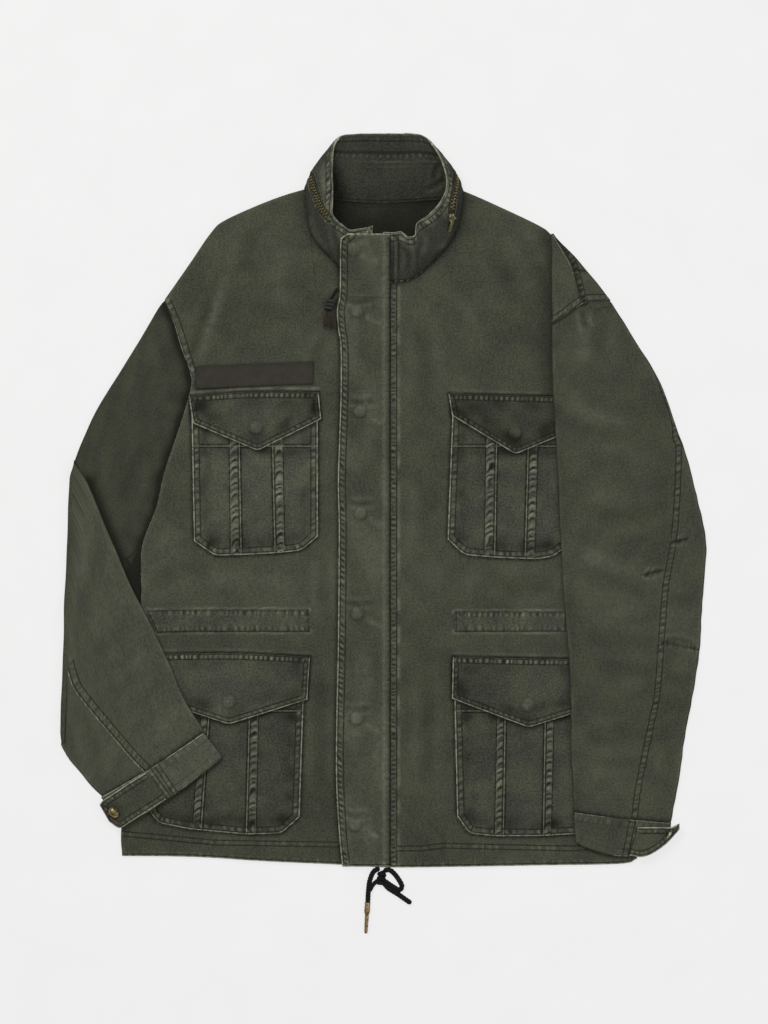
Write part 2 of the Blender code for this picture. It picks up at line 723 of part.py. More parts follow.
def build_tab(garment, name, table, lower, curl, steps=3):
    """A cuff tab from its sewn end to its free end, with the free end curled up if it is."""
    near = [Vector((*pair[0], 0)) for pair in table]
    far = [Vector((*pair[1], 0)) for pair in table]
    rows = [[a.lerp(b, i / steps) for i in range(steps + 1)] for a, b in zip(near, far)]
    reach = (near[-1] - near[0]).length

    def own(point):
        """The curl starts a third of the way along and is complete a little past the end."""
        return curl * ease(((point - near[0]).length / reach - 0.35) / 0.75)

    rows = garment.settle(rows, lower, 4, 4, own=own)
    if normal_of(rows).z < 0:
        rows = [list(reversed(row)) for row in rows]
    garment.sheet(name, rows, FACED, "twill")


def normal_of(rows):
    return (rows[0][-1] - rows[0][0]).cross(rows[-1][0] - rows[0][0])


# ---------------------------------------------------------------- collar, placket and pockets


def collar_rows(columns=46, up=7):
    """Points of the collar's outer face, a column for each step round the neck."""
    stations = []
    for i in range(columns):
        place = i / (columns - 1) * (len(COLLAR_ROWS) - 1)
        k = min(int(place), len(COLLAR_ROWS) - 2)
        share = place - k
        seam = blend_rows(k, share, 0)
        edge = blend_rows(k, share, 3)
        bow = COLLAR_ROWS[k][6] * (1 - share) + COLLAR_ROWS[k + 1][6] * share
        out = (seam + edge) / 2 - NECK_CENTRE
        out.z = abs(out.z) * 0.5 + BOW_LIFT if bow else 0
        out.normalize()
        column = []
        for j in range(up + 1):
            v = j / up
            point = seam.lerp(edge, v) + out * bow * BOW_SHARE * v * (1 - v)
            point.z = max(point.z, 0.0)
            column.append(point)
        stations.append(column)
    return stations


def blend_rows(k, share, first):
    """A point between two collar rows on the smooth curve through its neighbours."""
    rows = [COLLAR_ROWS[min(max(n, 0), len(COLLAR_ROWS) - 1)] for n in (k - 1, k, k + 1, k + 2)]
    return between(*[Vector(row[first:first + 3]) for row in rows], share)


def build_collar(garment):
    garment.sheet("collar", collar_rows(), COLLAR, "twill", side=-1)


def build_placket(garment, columns=5, rows=20, top_rows=9):
    """The storm placket from the hem up over the collar's front, where its rows are closer."""
    low = flat(PLACKET[:-3])
    high = flat(PLACKET[-4:])
    left = spread(smooth(low, 3), rows)[:-1] + spread(smooth(high, 3), top_rows)
    right = [Vector((PLACKET_SEAM, point.y, 0)) for point in left]
    grid = [[a.lerp(b, i / columns) for i in range(columns + 1)] for a, b in zip(left, right)]
    grid = garment.settle(grid, ["front_right", "front_left", "collar"], 5, 3)
    garment.sheet("placket", grid, FACED, "twill")


def build_pocket(garment, name, lower, rows=7):
    """A pocket bag: a crowned patch whose two pleats stand up along its whole length."""
    pocket = POCKETS[name]
    mouth = MOUTH_HEM[name.split("_")[1]]
    edges = pocket["edges"]
    columns = [(*edges[0], 0.0), (edges[0][0] + BAG_EDGE, edges[0][1] + BAG_EDGE, 0.0)]
    for pleat in (1, 3):
        for k, inwards in ((pleat, 0), (pleat, 1), (pleat + 1, -1), (pleat + 1, 0)):
            shift = inwards * PLEAT_SIDE
            columns.append((edges[k][0] + shift, edges[k][1] + shift, PLEAT if inwards else 0.0))
    columns += [(edges[5][0] - BAG_EDGE, edges[5][1] - BAG_EDGE, 0.0), (*edges[5], 0.0)]
    middle = sum(edges[0] + edges[5]) / 4
    half = (edges[5][0] - edges[0][0]) / 2
    floor_y = min(y for _, y in pocket["bottom"])
    grid = []
    ridge = {}
    for j in range(rows + 1):
        v = j / rows
        row = []
        for top_x, bottom_x, rise in columns:
            y = height_at(pocket["bottom"], bottom_x)
            point = Vector((top_x + (bottom_x - top_x) * (1 - v), y + (pocket["top"] - y) * v, 0))
            across = 1 - ((point.x - middle) / half) ** 2
            down = ease((point.y - floor_y) / BAG_FOOT)
            rise *= ease((mouth - point.y) / PLEAT_FADE)
            ridge[(round(point.x, 3), round(point.y, 3))] = rise + POCKET_CROWN * max(across, 0) * down
            row.append(point)
        grid.append(row)
    grid = garment.settle(grid, lower, 5, 2)
    for row in grid:
        for point in row:
            point.z += ridge[(round(point.x, 3), round(point.y, 3))]
    garment.sheet(f"{name}_bag", grid, PATCH, "pocket_twill")


def build_flap(garment, name, lower, columns=10, rows=3):
    """A pointed flap over the top of its pocket bag."""
    flap = FLAPS[name]
    top, bottom = flap["top"], flap["bottom"]
    grid = []
    for j in range(rows + 1):
        row = []
        for i in range(columns + 1):
            u = i / columns
            top_x = top[0][0] + (top[-1][0] - top[0][0]) * u
            low_x = bottom[0][0] + (bottom[-1][0] - bottom[0][0]) * u
            high = Vector((top_x, height_at(top, top_x), 0))
            low = Vector((low_x, height_at(bottom, low_x), 0))
            row.append(low.lerp(high, j / rows))
        grid.append(row)
    grid = garment.settle(grid, [*lower, f"{name}_bag"], 6, 2)
    garment.sheet(f"{name}_flap", grid, FACED, "pocket_twill")


def build_strip(garment, name, upper, lower_edge, lower, thickness, finish, columns, rows=1):
    """A straight sewn strip or tape between two edges."""
    high = spread(flat(upper), columns + 1)
    low = spread(flat(lower_edge), columns + 1)
    grid = [[b.lerp(a, j / rows) for a, b in zip(high, low)] for j in range(rows + 1)]
    grid = garment.settle(grid, lower, 5, 1)
    garment.sheet(name, grid, thickness, finish)


def build_snap(garment, name, place, lower, radius, height, finish):
    """A domed snap standing on the highest point under it."""
    piece = turned(garment, name, dome_profile(radius, height), finish)
    level = garment.top(Vector((*place, 0)), lower, radius) + SEAM
    piece.location = Vector((*place, level)) * MM
    return piece


# ---------------------------------------------------------------- collar zip


def collar_point(garment, x, y, around=3.0):
    """The collar's outer face at a place in plan, with its direction evened out over a little way."""
    points = []
    facing = Vector()
    for dx, dy in ((0, 0), (around, 0), (-around, 0), (0, around), (0, -around)):
        start = Vector((x + dx, y + dy, ABOVE)) * MM
        point, normal = garment.surfaces["collar"].ray_cast(start, -UP)[:2]
        if point:
            points.append(point / MM)
            facing += normal
    return points[0], facing.normalized()


def build_collar_zip(garment, side, steps=10):
    """A stretch of zip that lies on the collar."""
    grid = [[], []]
    route = spread(smooth(flat(COLLAR_ZIPS[side]), 6), steps + 1)
    places = [collar_point(garment, point.x, point.y) for point in route]
    for k, (point, facing) in enumerate(places):
        before, after = places[max(k - 1, 0)][0], places[min(k + 1, steps)][0]
        across = facing.cross(after - before).normalized()
        for row, edge in zip(grid, (-0.5, 0.5)):
            row.append(point + across * ZIP_WIDTH * edge + facing * ZIP_LIFT)
    garment.sheet(f"{side}_collar_zip", grid, ZIP_HEIGHT, "brass")


def collar_frame(garment):
    """Where the slider sits, with x down the zip, y across it and z out of the collar."""
    (upper, facing), (lower, _) = [collar_point(garment, *place) for place in SLIDER_AT]
    across = facing.cross(lower - upper).normalized()
    down = across.cross(facing)
    axes = Matrix((down, across, facing)).transposed().to_4x4()
    return Matrix.Translation(((upper + lower) / 2 + facing * ZIP_LIFT) * MM) @ axes


def block(work, size, centre):
    """A box of a size in millimetres added to a bmesh."""
    made = bmesh.ops.create_cube(work, size=1.0)["verts"]
    bmesh.ops.scale(work, vec=[s * MM for s in size], verts=made)
    bmesh.ops.translate(work, vec=[c * MM for c in centre], verts=made)


def bar(work, radius, length, centre, segments=10):
    """A round bar along y added to a bmesh."""
    made = bmesh.ops.create_cone(work, cap_ends=True, segments=segments, radius1=radius * MM,
                                 radius2=radius * MM, depth=length * MM)["verts"]
    bmesh.ops.rotate(work, cent=(0, 0, 0), matrix=Matrix.Rotation(math.pi / 2, 3, "X"), verts=made)
    bmesh.ops.translate(work, vec=[c * MM for c in centre], verts=made)


def joined(garment, helpers, name, makers, finish, place):
    """Simple bodies united into one piece, placed by its own matrix."""
    bodies = []
    for number, make in enumerate(makers):
        work = bmesh.new()
        make(work)
        data = bpy.data.meshes.new(f"{name}_{number}")
        work.to_mesh(data)
        work.free()
        bodies.append(data)
    piece = garment.add(name, bodies[0], finish)
    piece.matrix_world = place
    for number, data in enumerate(bodies[1:]):
        helper = bpy.data.objects.new(f"{name}_join_{number}", data)
        helpers.objects.link(helper)
        helper.hide_render = True
        helper.display_type = "WIRE"
        helper.matrix_world = place
        join = piece.modifiers.new(f"join_{number}", "BOOLEAN")
        join.operation = "UNION"
        join.object = helper
    return piece


def build_slider(garment, helpers):
    """The zip's slider, with a bar between two posts that the pull tab hangs on."""
    length, width, height = SLIDER_SIZE
    bar_z = height + BRIDGE_HEIGHT
    post_size = (*POST, bar_z + BRIDGE_RADIUS)
    post_y = (width - POST[1]) / 2
    makers = [
        lambda work: block(work, SLIDER_SIZE, (0, 0, height / 2)),
        lambda work: block(work, post_size, (0, post_y, post_size[2] / 2)),
        lambda work: block(work, post_size, (0, -post_y, post_size[2] / 2)),
        lambda work: bar(work, BRIDGE_RADIUS, width - POST[1], (0, 0, bar_z)),
    ]
    joined(garment, helpers, "collar_zip_slider", makers, "brass", collar_frame(garment))


def eye(work, sides=12):
    """The ring at the pull tab's root, round the slider's bar."""
    rings = []
    for y in (-EYE_WIDTH / 2, EYE_WIDTH / 2):
        for radius in (EYE_RADIUS, BRIDGE_RADIUS + BAR_PLAY):
            ring = []
            for k in range(sides):
                angle = 2 * math.pi * k / sides
                point = Vector((radius * math.cos(angle), y, radius * math.sin(angle)))
                ring.append(work.verts.new(point * MM))
            rings.append(ring)
    low_out, low_in, high_out, high_in = rings
    for first, second in ((low_out, high_out), (high_in, low_in), (low_in, low_out), (high_out, high_in)):
        for k in range(sides):
            n = (k + 1) % sides
            work.faces.new((first[k], first[n], second[n], second[k]))
    bmesh.ops.recalc_face_normals(work, faces=work.faces)


def blade(work):
    """The pull tab's flat blade, narrow where it joins the eye."""
    start = BRIDGE_RADIUS + BAR_PLAY + 0.5
    block(work, (PULL_LENGTH - start, PULL_WIDTH, PULL_THICKNESS), ((PULL_LENGTH + start) / 2, 0, 0))
    for vertex in work.verts:
        if vertex.co.x < EYE_RADIUS * MM:
            vertex.co.y *= EYE_WIDTH * 0.9 / PULL_WIDTH


def build_pull(garment, helpers):
    """The pull tab, its origin on the bar's axis, sloping down to rest just over the collar."""
    place = collar_frame(garment) @ Matrix.Translation((0, 0, (SLIDER_SIZE[2] + BRIDGE_HEIGHT) * MM))
    place = place @ Matrix.Rotation(math.radians(PULL_DROP), 4, "Y")
    joined(garment, helpers, "collar_zip_pull", [eye, blade], "brass", place)


# ---------------------------------------------------------------- cords


def raised(garment, route, diameter, lower):
    """Give a route in plan the height of what it lies on plus its own radius."""
    rows = []
    for x, y in route:
        level = garment.top(Vector((x, y, 0)), lower, diameter / 2) if lower else 0.0
        rows.append((x, y, level + diameter / 2 + SEAM / 2))
    return rows


def lump(garment, name, centre, size, finish, lobes=0, level=0.0):
    """A rounded knot, flat-bottomed where it rests, with a shallow groove for each turn of cord."""
    work = bmesh.new()
    bmesh.ops.create_uvsphere(work, u_segments=14, v_segments=8, radius=0.5)
    for vertex in work.verts:
        angle = math.atan2(vertex.co.y, vertex.co.x)
        swell = 1 + KNOT_LOBE * math.cos(lobes * angle)
        vertex.co.x *= size[0] * swell * MM
        vertex.co.y *= size[1] * swell * MM
        vertex.co.z *= size[2] * MM
    data = bpy.data.meshes.new(name)
    work.to_mesh(data)
    work.free()
    piece = garment.add(name, data, finish)
    piece.location = Vector((centre[0], centre[1], level + size[2] / 2 + SEAM / 2)) * MM
    return piece


def build_tassel(garment, level, lobes=7, rings=6):
    """The frayed end of the zip puller: strands that part more and more towards their ends."""
    a, b = Vector((*ZIP_TASSEL[0], 0)), Vector((*ZIP_TASSEL[1], 0))
    work = bmesh.new()
    loops = []
    count = lobes * 2
    for j in range(rings + 1):
        v = j / rings
        centre = a.lerp(b, v)
        wide = TASSEL_WIDTH[0] + (TASSEL_WIDTH[1] - TASSEL_WIDTH[0]) * ease(v * 1.6)
        loop = []
        for k in range(count):
            angle = 2 * math.pi * k / count
            radius = wide * (1 - (STRAND_GROOVE * v if k % 2 else 0))
            x = centre.x + radius * math.cos(angle)
            z = level + TASSEL_WIDTH[1] * TASSEL_FLAT + radius * TASSEL_FLAT * math.sin(angle)
            loop.append(work.verts.new(Vector((x, centre.y, z)) * MM))
        loops.append(loop)
    for upper, under in zip(loops, loops[1:]):
        for k in range(count):
            n = (k + 1) % count
            work.faces.new((upper[k], upper[n], under[n], under[k]))
    work.faces.new(loops[0])
    work.faces.new(list(reversed(loops[-1])))
    bmesh.ops.recalc_face_normals(work, faces=work.faces)
    data = bpy.data.meshes.new("front_zip_tassel")
    work.to_mesh(data)
    work.free()
    garment.add("front_zip_tassel", data, "tape")


def build_tip(garment):
    """The drawcord's metal tip, crimped round the cord and tapering to its end."""
    start, end = Vector((*HEM_TIP[0], 0)), Vector((*HEM_TIP[1], 0))
    length = (end - start).length
    profile = [(0, length), *[(radius, length * share) for radius, share in TIP_PROFILE], (0, 0)]
    piece = turned(garment, "hem_cord_tip", profile, "brass", steps=12)
    way = (end - start).normalized()
    way.z = TIP_SLOPE
    place = Matrix.Translation(Vector((start.x, start.y, TIP_HEIGHT)) * MM)
    piece.matrix_world = place @ way.to_track_quat("Z", "Y").to_matrix().to_4x4()


def build_cords(garment):
    cord(garment, "hem_cord_tip_end", raised(garment, HEM_CORD_TIP_END, CORD, ()), CORD, "cord")
    cord(garment, "hem_cord_loop", raised(garment, HEM_LOOP, CORD, ()), CORD, "cord")
    cord(garment, "hem_cord_bare_end", raised(garment, HEM_CORD_BARE_END, CORD, ()), CORD, "cord")
    lump(garment, "hem_cord_knot", HEM_KNOT, HEM_KNOT_SIZE, "cord", lobes=3)
    build_tip(garment)
    route = raised(garment, ZIP_CORD_ROUTE, ZIP_CORD, ["front_right"])
    cord(garment, "front_zip_cord", route, ZIP_CORD, "cord")
    level = garment.top(Vector((*ZIP_KNOT, 0)), ["front_right"], ZIP_KNOT_SIZE[0])
    lump(garment, "front_zip_knot", ZIP_KNOT, ZIP_KNOT_SIZE, "cord", lobes=2, level=level)
    middle = (Vector(ZIP_TASSEL[0]) + Vector(ZIP_TASSEL[1])) / 2
    build_tassel(garment, garment.top(middle, ["front_right"], 2 * TASSEL_WIDTH[1]))


# ---------------------------------------------------------------- the jacket


def build():
    clear_scene()
    garment = Garment("field_jacket")
    helpers = bpy.data.collections.new("joining_shapes")
    bpy.context.scene.collection.children.link(helpers)

    build_back(garment)
    upper_arm = build_upper_arm(garment)
    build_front(garment, "right")
    build_front(garment, "left")
    build_collar(garment)
    build_placket(garment)
    for number, place in enumerate(PLACKET_SNAPS, 1):
        build_snap(garment, f"placket_snap_{number}", place, ["placket"], SNAP_RADIUS, SNAP_HEIGHT, "twill")

    for side in ("right", "left"):
        front = [f"front_{side}"]
        for level in ("chest", "lower"):
            name = f"{side}_{level}"
            build_pocket(garment, name, front)
            build_flap(garment, name, front)
            build_snap(garment, f"{name}_snap", FLAPS[name]["snap"], [f"{name}_flap"], SNAP_RADIUS,
                       SNAP_HEIGHT, "pocket_twill")
        upper, low = WAIST_STRIPS[side]
        build_strip(garment, f"{side}_waist_strip", upper, low, front, PATCH, "pocket_twill", 12)
    build_strip(garment, "name_tape", NAME_TAPE[:2], (NAME_TAPE[3], NAME_TAPE[2]), ["front_right"], PATCH,
                "tape", 6)

    build_right_sleeve(garment, upper_arm)
    on_right = ["back", "front_right", "right_lower_bag", "right_lower_flap", "upper_arm"]
    build_tube(garment, "right_cuff", RIGHT_CUFF, on_right, 7, 3, FACED, "twill",
               edge=CUFF_HEIGHT, full=CUFF_HEIGHT)
    build_tab(garment, "right_cuff_tab", RIGHT_TAB, ["right_cuff", "right_sleeve"], 0)
    build_snap(garment, "right_cuff_snap", RIGHT_TAB_SNAP, ["right_cuff_tab"], TAB_SNAP_RADIUS,
               TAB_SNAP_HEIGHT, "brass")

    on_left = ["back", "front_left", "left_chest_bag", "left_chest_flap", "left_lower_bag",
               "left_lower_flap", "left_waist_strip"]
    build_tube(garment, "left_shoulder", LEFT_SHOULDER, on_left, 6, 3, CLOTH, "twill")
    build_tube(garment, "left_sleeve", LEFT_SLEEVE, on_left, 7, 5, CLOTH, "twill")
    build_tube(garment, "left_cuff", LEFT_CUFF, on_left, 7, 3, FACED, "twill",
               edge=CUFF_HEIGHT, full=CUFF_HEIGHT)
    build_tab(garment, "left_cuff_tab", LEFT_TAB, ["left_cuff", "left_sleeve"], TAB_CURL)
    build_snap(garment, "left_cuff_snap", LEFT_TAB_SNAP, ["left_cuff_tab"], TAB_SNAP_RADIUS * 0.8,
               TAB_SNAP_HEIGHT, "brass")

    for side in ("right", "left"):
        build_collar_zip(garment, side)
    build_slider(garment, helpers)
    build_pull(garment, helpers)
    build_cords(garment)


build()
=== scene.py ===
import math

import bpy
import numpy as np
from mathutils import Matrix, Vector
from mathutils.bvhtree import BVHTree


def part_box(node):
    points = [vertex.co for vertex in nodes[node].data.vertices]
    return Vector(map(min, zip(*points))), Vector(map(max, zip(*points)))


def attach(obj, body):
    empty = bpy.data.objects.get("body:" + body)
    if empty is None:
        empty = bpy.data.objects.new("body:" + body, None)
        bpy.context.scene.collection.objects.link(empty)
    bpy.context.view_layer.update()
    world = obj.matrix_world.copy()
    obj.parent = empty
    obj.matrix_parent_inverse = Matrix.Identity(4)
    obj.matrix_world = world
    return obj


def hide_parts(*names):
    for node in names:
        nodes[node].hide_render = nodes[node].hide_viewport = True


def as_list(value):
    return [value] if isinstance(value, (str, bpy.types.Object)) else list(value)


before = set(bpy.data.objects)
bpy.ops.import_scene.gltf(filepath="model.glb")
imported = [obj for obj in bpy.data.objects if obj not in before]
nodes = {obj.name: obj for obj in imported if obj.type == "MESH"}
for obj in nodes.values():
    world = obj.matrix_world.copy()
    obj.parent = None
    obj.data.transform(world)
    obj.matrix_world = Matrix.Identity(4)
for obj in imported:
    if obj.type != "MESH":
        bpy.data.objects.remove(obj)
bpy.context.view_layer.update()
mm = 0.001

# Lengths below are millimetres in the frame's own directions, unless a name says otherwise.
# "right" and "left" are the wearer's, so the right front is at -x.
straightUp = np.array([0.0, 0.0, 1.0])
farOff = 1000.0   # the distance given to points that are out of a mark's reach
clear = 50.0      # the distance to an edge or a row of stitching where there is none

view = {
    "middle": (0.0, -12.65),  # what the camera looks straight down at
    "span": 1177.6,           # length of floor that the picture takes in, top to bottom
    "lens": 135.0,
    "sensor": 36.0,
}

light = {
    "floor": "#EFEFEF",
    "floorGlow": 0.85,        # share of the floor's brightness that it gives off itself
    "sky": ("#FFFFFF", 0.42),
    "key": {"at": (-900, 1300, 2600), "size": 1900, "power": 62, "tint": "#FFFDF8"},
    "fill": {"at": (1400, -500, 2200), "size": 2200, "power": 20, "tint": "#F7FAFF"},
}


def toLinear(hexColour):
    # sRGB hex to the linear colour that shaders take
    parts = [int(hexColour[k:k + 2], 16) / 255 for k in (1, 3, 5)]
    return tuple(p / 12.92 if p <= 0.04045 else ((p + 0.055) / 1.055) ** 2.4 for p in parts) + (1.0,)


def makeCamera():
    camera = bpy.data.objects.new("camera", bpy.data.cameras.new("camera"))
    bpy.context.scene.collection.objects.link(camera)
    camera.data.lens = view["lens"]
    camera.data.sensor_width = view["sensor"]
    camera.data.clip_end = 50
    camera.location = Vector((*view["middle"], view["span"] * view["lens"] / view["sensor"])) * mm
    bpy.context.scene.camera = camera
    bpy.context.scene.view_settings.view_transform = "Standard"


def makeLamp(name):
    spec = light[name]
    lamp = bpy.data.lights.new(name, "AREA")
    lamp.shape, lamp.size, lamp.energy = "DISK", spec["size"] * mm, spec["power"]
    lamp.color = toLinear(spec["tint"])[:3]
    holder = bpy.data.objects.new(name, lamp)
    bpy.context.scene.collection.objects.link(holder)
    holder.location = Vector(spec["at"]) * mm
    holder.rotation_euler = (-Vector(spec["at"])).to_track_quat("-Z", "Y").to_euler()


def makeSky():
    world = bpy.data.worlds.new("studio")
    world.use_nodes = True
    ground = world.node_tree.nodes["Background"]
    ground.inputs["Color"].default_value = toLinear(light["sky"][0])
    ground.inputs["Strength"].default_value = light["sky"][1]
    bpy.context.scene.world = world


makeCamera()
for lamp in ("key", "fill"):
    makeLamp(lamp)
makeSky()
print("camera and lights ready")


def newMaterial(name):
    # a material, the function that adds a node to it, and the one that sets its shader
    made = bpy.data.materials.new(name)
    made.use_nodes = True
    tree = made.node_tree

    def setUp(node, values):
        # properties by name, and sockets by name or place: a number, a colour or the socket that feeds it
        for key, value in values.items():
            if isinstance(key, str) and hasattr(node, key):
                setattr(node, key, value)
            elif isinstance(value, bpy.types.NodeSocket):
                tree.links.new(value, node.inputs[key])
            else:
                node.inputs[key].default_value = value
        return node

    def add(kind, values, out=0):
        return setUp(tree.nodes.new("ShaderNode" + kind), values).outputs[out]

    return made, add, lambda values: setUp(tree.nodes["Principled BSDF"], values)


def perMetre(size):
    return 1000.0 / size  # a noise's scale for features of this many millimetres


smoothStep = {"interpolation_type": "SMOOTHSTEP"}  # then the value, from low, from high, to low and to high
blend = {"data_type": "RGBA"}                  # then 0 for the share, 6 and 7 for the two colours
waveTurn = math.pi / 10                        # a wave texture's own period

twillLook = {
    "base": "#3F4135",       # olive, dyed as a finished garment
    "grey": "#3C3E35",       # where the dye has washed to grey
    "deep": "#141510",       # unfaded dye in troughs and beside seams, and painted shade
    "faded": "#9C9D8A",      # rubbed pale along the folded edges
    "mottle": 34.0,          # size of the washed patches
    "cloud": 150.0,          # size of the slow change of depth over a panel
    "streak": (2.0, 12.0),   # slubs in the warp: width, length
    "grain": 2.2,            # yarn grain, drawn coarser than the 0.6 mm yarns so that it shows
    "wale": 1.8,             # twill lines, drawn coarser than the real 0.8 mm so that they show
    "waleTurn": 1.1,         # radians, the steep slope of a 3/1 twill
    "rub": 6.0,              # size of the patches that rubbing breaks up into
    "speckle": 0.28,         # how far the grain varies the depth of colour
    "roughness": 0.95,
}
pocketLook = {**twillLook, "base": "#434539", "grey": "#3D3E37", "speckle": 0.36}
collarLook = {**twillLook, "base": "#363830", "grey": "#33342E", "speckle": 0.38}
# the twill painted darker for the shade inside the neck
shadedInsideLook = {**twillLook, "base": "#282923", "grey": "#24251F"}


def washedTwill(name, look, coordinates="uv"):
    # Heavy cotton twill, garment dyed and stone washed: matt, with fine steep lines, cloudy colour,
    # pale rubbed edges, puckered seams that stay dark in their hollows, and painted shade from the dark attribute.
    made, add, shader = newMaterial(name)
    place = add("UVMap", {"uv_map": "weave"}) if coordinates == "uv" else add("TexCoord", {}, "Object")
    thin, long = look["streak"]
    stretched = add("Mapping", {"Vector": place, "Scale": (1.0, thin / long, 1.0)})
    turned = add("Mapping", {"Vector": place, "Rotation": (0.0, 0.0, look["waleTurn"])})
    mottle, cloud, streak, grain, rubbed = [
        add("TexNoise", {"Vector": vector, "Scale": perMetre(size), "Detail": detail, "Roughness": 0.55}, "Fac")
        for size, vector, detail in (
            (look["mottle"], place, 3.0), (look["cloud"], place, 1.0), (thin, stretched, 2.0),
            (look["grain"], place, 2.0), (look["rub"], place, 2.0))]
    wale = add("TexWave", {"Vector": turned, "Scale": perMetre(look["wale"]) * waveTurn, "Distortion": 2.5,
                           "Detail": 1.0, "Detail Scale": 2.0}, "Fac")
    worn, dark, edge, row = [add("Attribute", {"attribute_name": n}, "Fac")
                             for n in ("worn", "dark", "edge", "row")]
    washed = add("MapRange", {**smoothStep, 0: mottle, 1: 0.36, 2: 0.64})
    colour = add("Mix", {**blend, 0: washed, 6: toLinear(look["base"]), 7: toLinear(look["grey"])}, 2)
    depth = add("MapRange", {**smoothStep, 0: cloud, 1: 0.3, 2: 0.7, 3: 0.90, 4: 1.09})
    for source, low, high, less, more in ((streak, 0.25, 0.75, -0.10, 0.10), (wale, 0.2, 0.8, -0.10, 0.10),
                                          (grain, 0.25, 0.75, -look["speckle"], look["speckle"]),
                                          (mottle, 0.3, 0.7, 0.07, -0.07)):
        share = add("MapRange", {**smoothStep, 0: source, 1: low, 2: high, 3: less, 4: more})
        depth = add("Math", {"operation": "ADD", 0: depth, 1: share})
    grey = add("CombineColor", {0: depth, 1: depth, 2: depth})
    colour = add("Mix", {**blend, "blend_type": "MULTIPLY", 0: 1.0, 6: colour, 7: grey}, 2)
    # a dark hair line in the stitched groove, and a pale one along the folded edge
    apart = add("Math", {"operation": "ABSOLUTE", 0: row})
    groove = add("MapRange", {**smoothStep, 0: apart, 1: 0.3, 2: 1.05, 3: 1.0, 4: 0.0})
    line = add("MapRange", {**smoothStep, 0: edge, 1: 0.6, 2: 1.6, 3: 1.0, 4: 0.0})
    # what lies over the dyed colour, its own colour, and how rubbing breaks it up
    for source, tint, low, high, less, more in (
            (worn, "faded", 0.25, 0.7, 0.30, 0.80), (dark, "deep", 0.0, 1.0, 0.9, 0.9),
            (groove, "deep", 0.3, 0.65, 0.95, 0.55), (line, "faded", 0.36, 0.62, 0.25, 0.95)):
        patchy = add("MapRange", {**smoothStep, 0: rubbed, 1: low, 2: high, 3: less, 4: more})
        share = add("Math", {"operation": "MULTIPLY", 0: source, 1: patchy})
        colour = add("Mix", {**blend, 0: share, 6: colour, 7: toLinear(look[tint])}, 2)
    rise = add("Math", {"operation": "MULTIPLY_ADD", 0: wale, 1: 0.35, 2: grain})
    rise = add("Math", {"operation": "MULTIPLY_ADD", 0: groove, 1: -1.6, 2: rise})
    shader({"Base Color": colour, "Roughness": look["roughness"], "Specular IOR Level": 0.12,
            "Normal": add("Bump", {"Strength": 0.55, "Distance": 0.4 * mm, "Height": rise})})
    return made


def wovenTape():
    # Plain woven cotton tape, piece dyed brown: dull, with fine ribs across.
    look = {"base": "#29241C", "deep": "#191611", "seam": "#181512", "rib": 1.8}  # coarser than the real 0.7 mm
    made, add, shader = newMaterial("wovenCottonTape")
    place = add("UVMap", {"uv_map": "weave"})
    ribs = add("TexWave", {"Vector": place, "Scale": perMetre(look["rib"]) * waveTurn, "Distortion": 2.0}, "Fac")
    blot = add("TexNoise", {"Vector": place, "Scale": perMetre(11.0), "Detail": 4.0}, "Fac")
    blotted = add("MapRange", {**smoothStep, 0: blot, 1: 0.3, 2: 0.7})
    dark = add("Attribute", {"attribute_name": "dark"}, "Fac")
    colour = toLinear(look["base"])
    for first, second, tint in ((ribs, blotted, "deep"), (dark, 0.8, "seam")):
        share = add("Math", {"operation": "MULTIPLY", 0: first, 1: second})
        colour = add("Mix", {**blend, 0: share, 6: colour, 7: toLinear(look[tint])}, 2)
    shader({"Base Color": colour, "Roughness": 0.88,
            "Normal": add("Bump", {"Strength": 0.4, "Distance": 0.2 * mm, "Height": ribs})})
    return made


def agedBrass(name, bright, dull):
    # Cast brass left to tarnish: warm and dull, darker in blotches, brighter where it is handled.
    made, add, shader = newMaterial(name)
    place = add("TexCoord", {}, "Object")
    blot, fine = [add("TexNoise", {"Vector": place, "Scale": perMetre(size), "Detail": detail}, "Fac")
                  for size, detail in ((3.0, 4.0), (0.5, 2.0))]
    tarnish = add("MapRange", {**smoothStep, 0: blot, 1: 0.35, 2: 0.68})
    shader({"Base Color": add("Mix", {**blend, 0: tarnish, 6: toLinear(bright), 7: toLinear(dull)}, 2),
            "Metallic": 1.0,
            "Roughness": add("MapRange", {**smoothStep, 0: blot, 1: 0.3, 2: 0.7, 3: 0.34, 4: 0.55}),
            "Normal": add("Bump", {"Strength": 0.25, "Distance": 0.05 * mm, "Height": fine})})
    return made


def braidedCotton(name, hexColour, deepColour, roughness=0.85):
    # Braided or twisted cotton, black or brown: matt, with a fine fibrous surface.
    made, add, shader = newMaterial(name)
    fuzz = add("TexNoise", {"Vector": add("TexCoord", {}, "Object"), "Scale": perMetre(0.7), "Detail": 3.0}, "Fac")
    share = add("MapRange", {**smoothStep, 0: fuzz, 1: 0.3, 2: 0.7})
    shader({"Base Color": add("Mix", {**blend, 0: share, 6: toLinear(hexColour), 7: toLinear(deepColour)}, 2),
            "Roughness": roughness, "Specular IOR Level": 0.2,
            "Normal": add("Bump", {"Strength": 0.5, "Distance": 0.15 * mm, "Height": fuzz})})
    return made


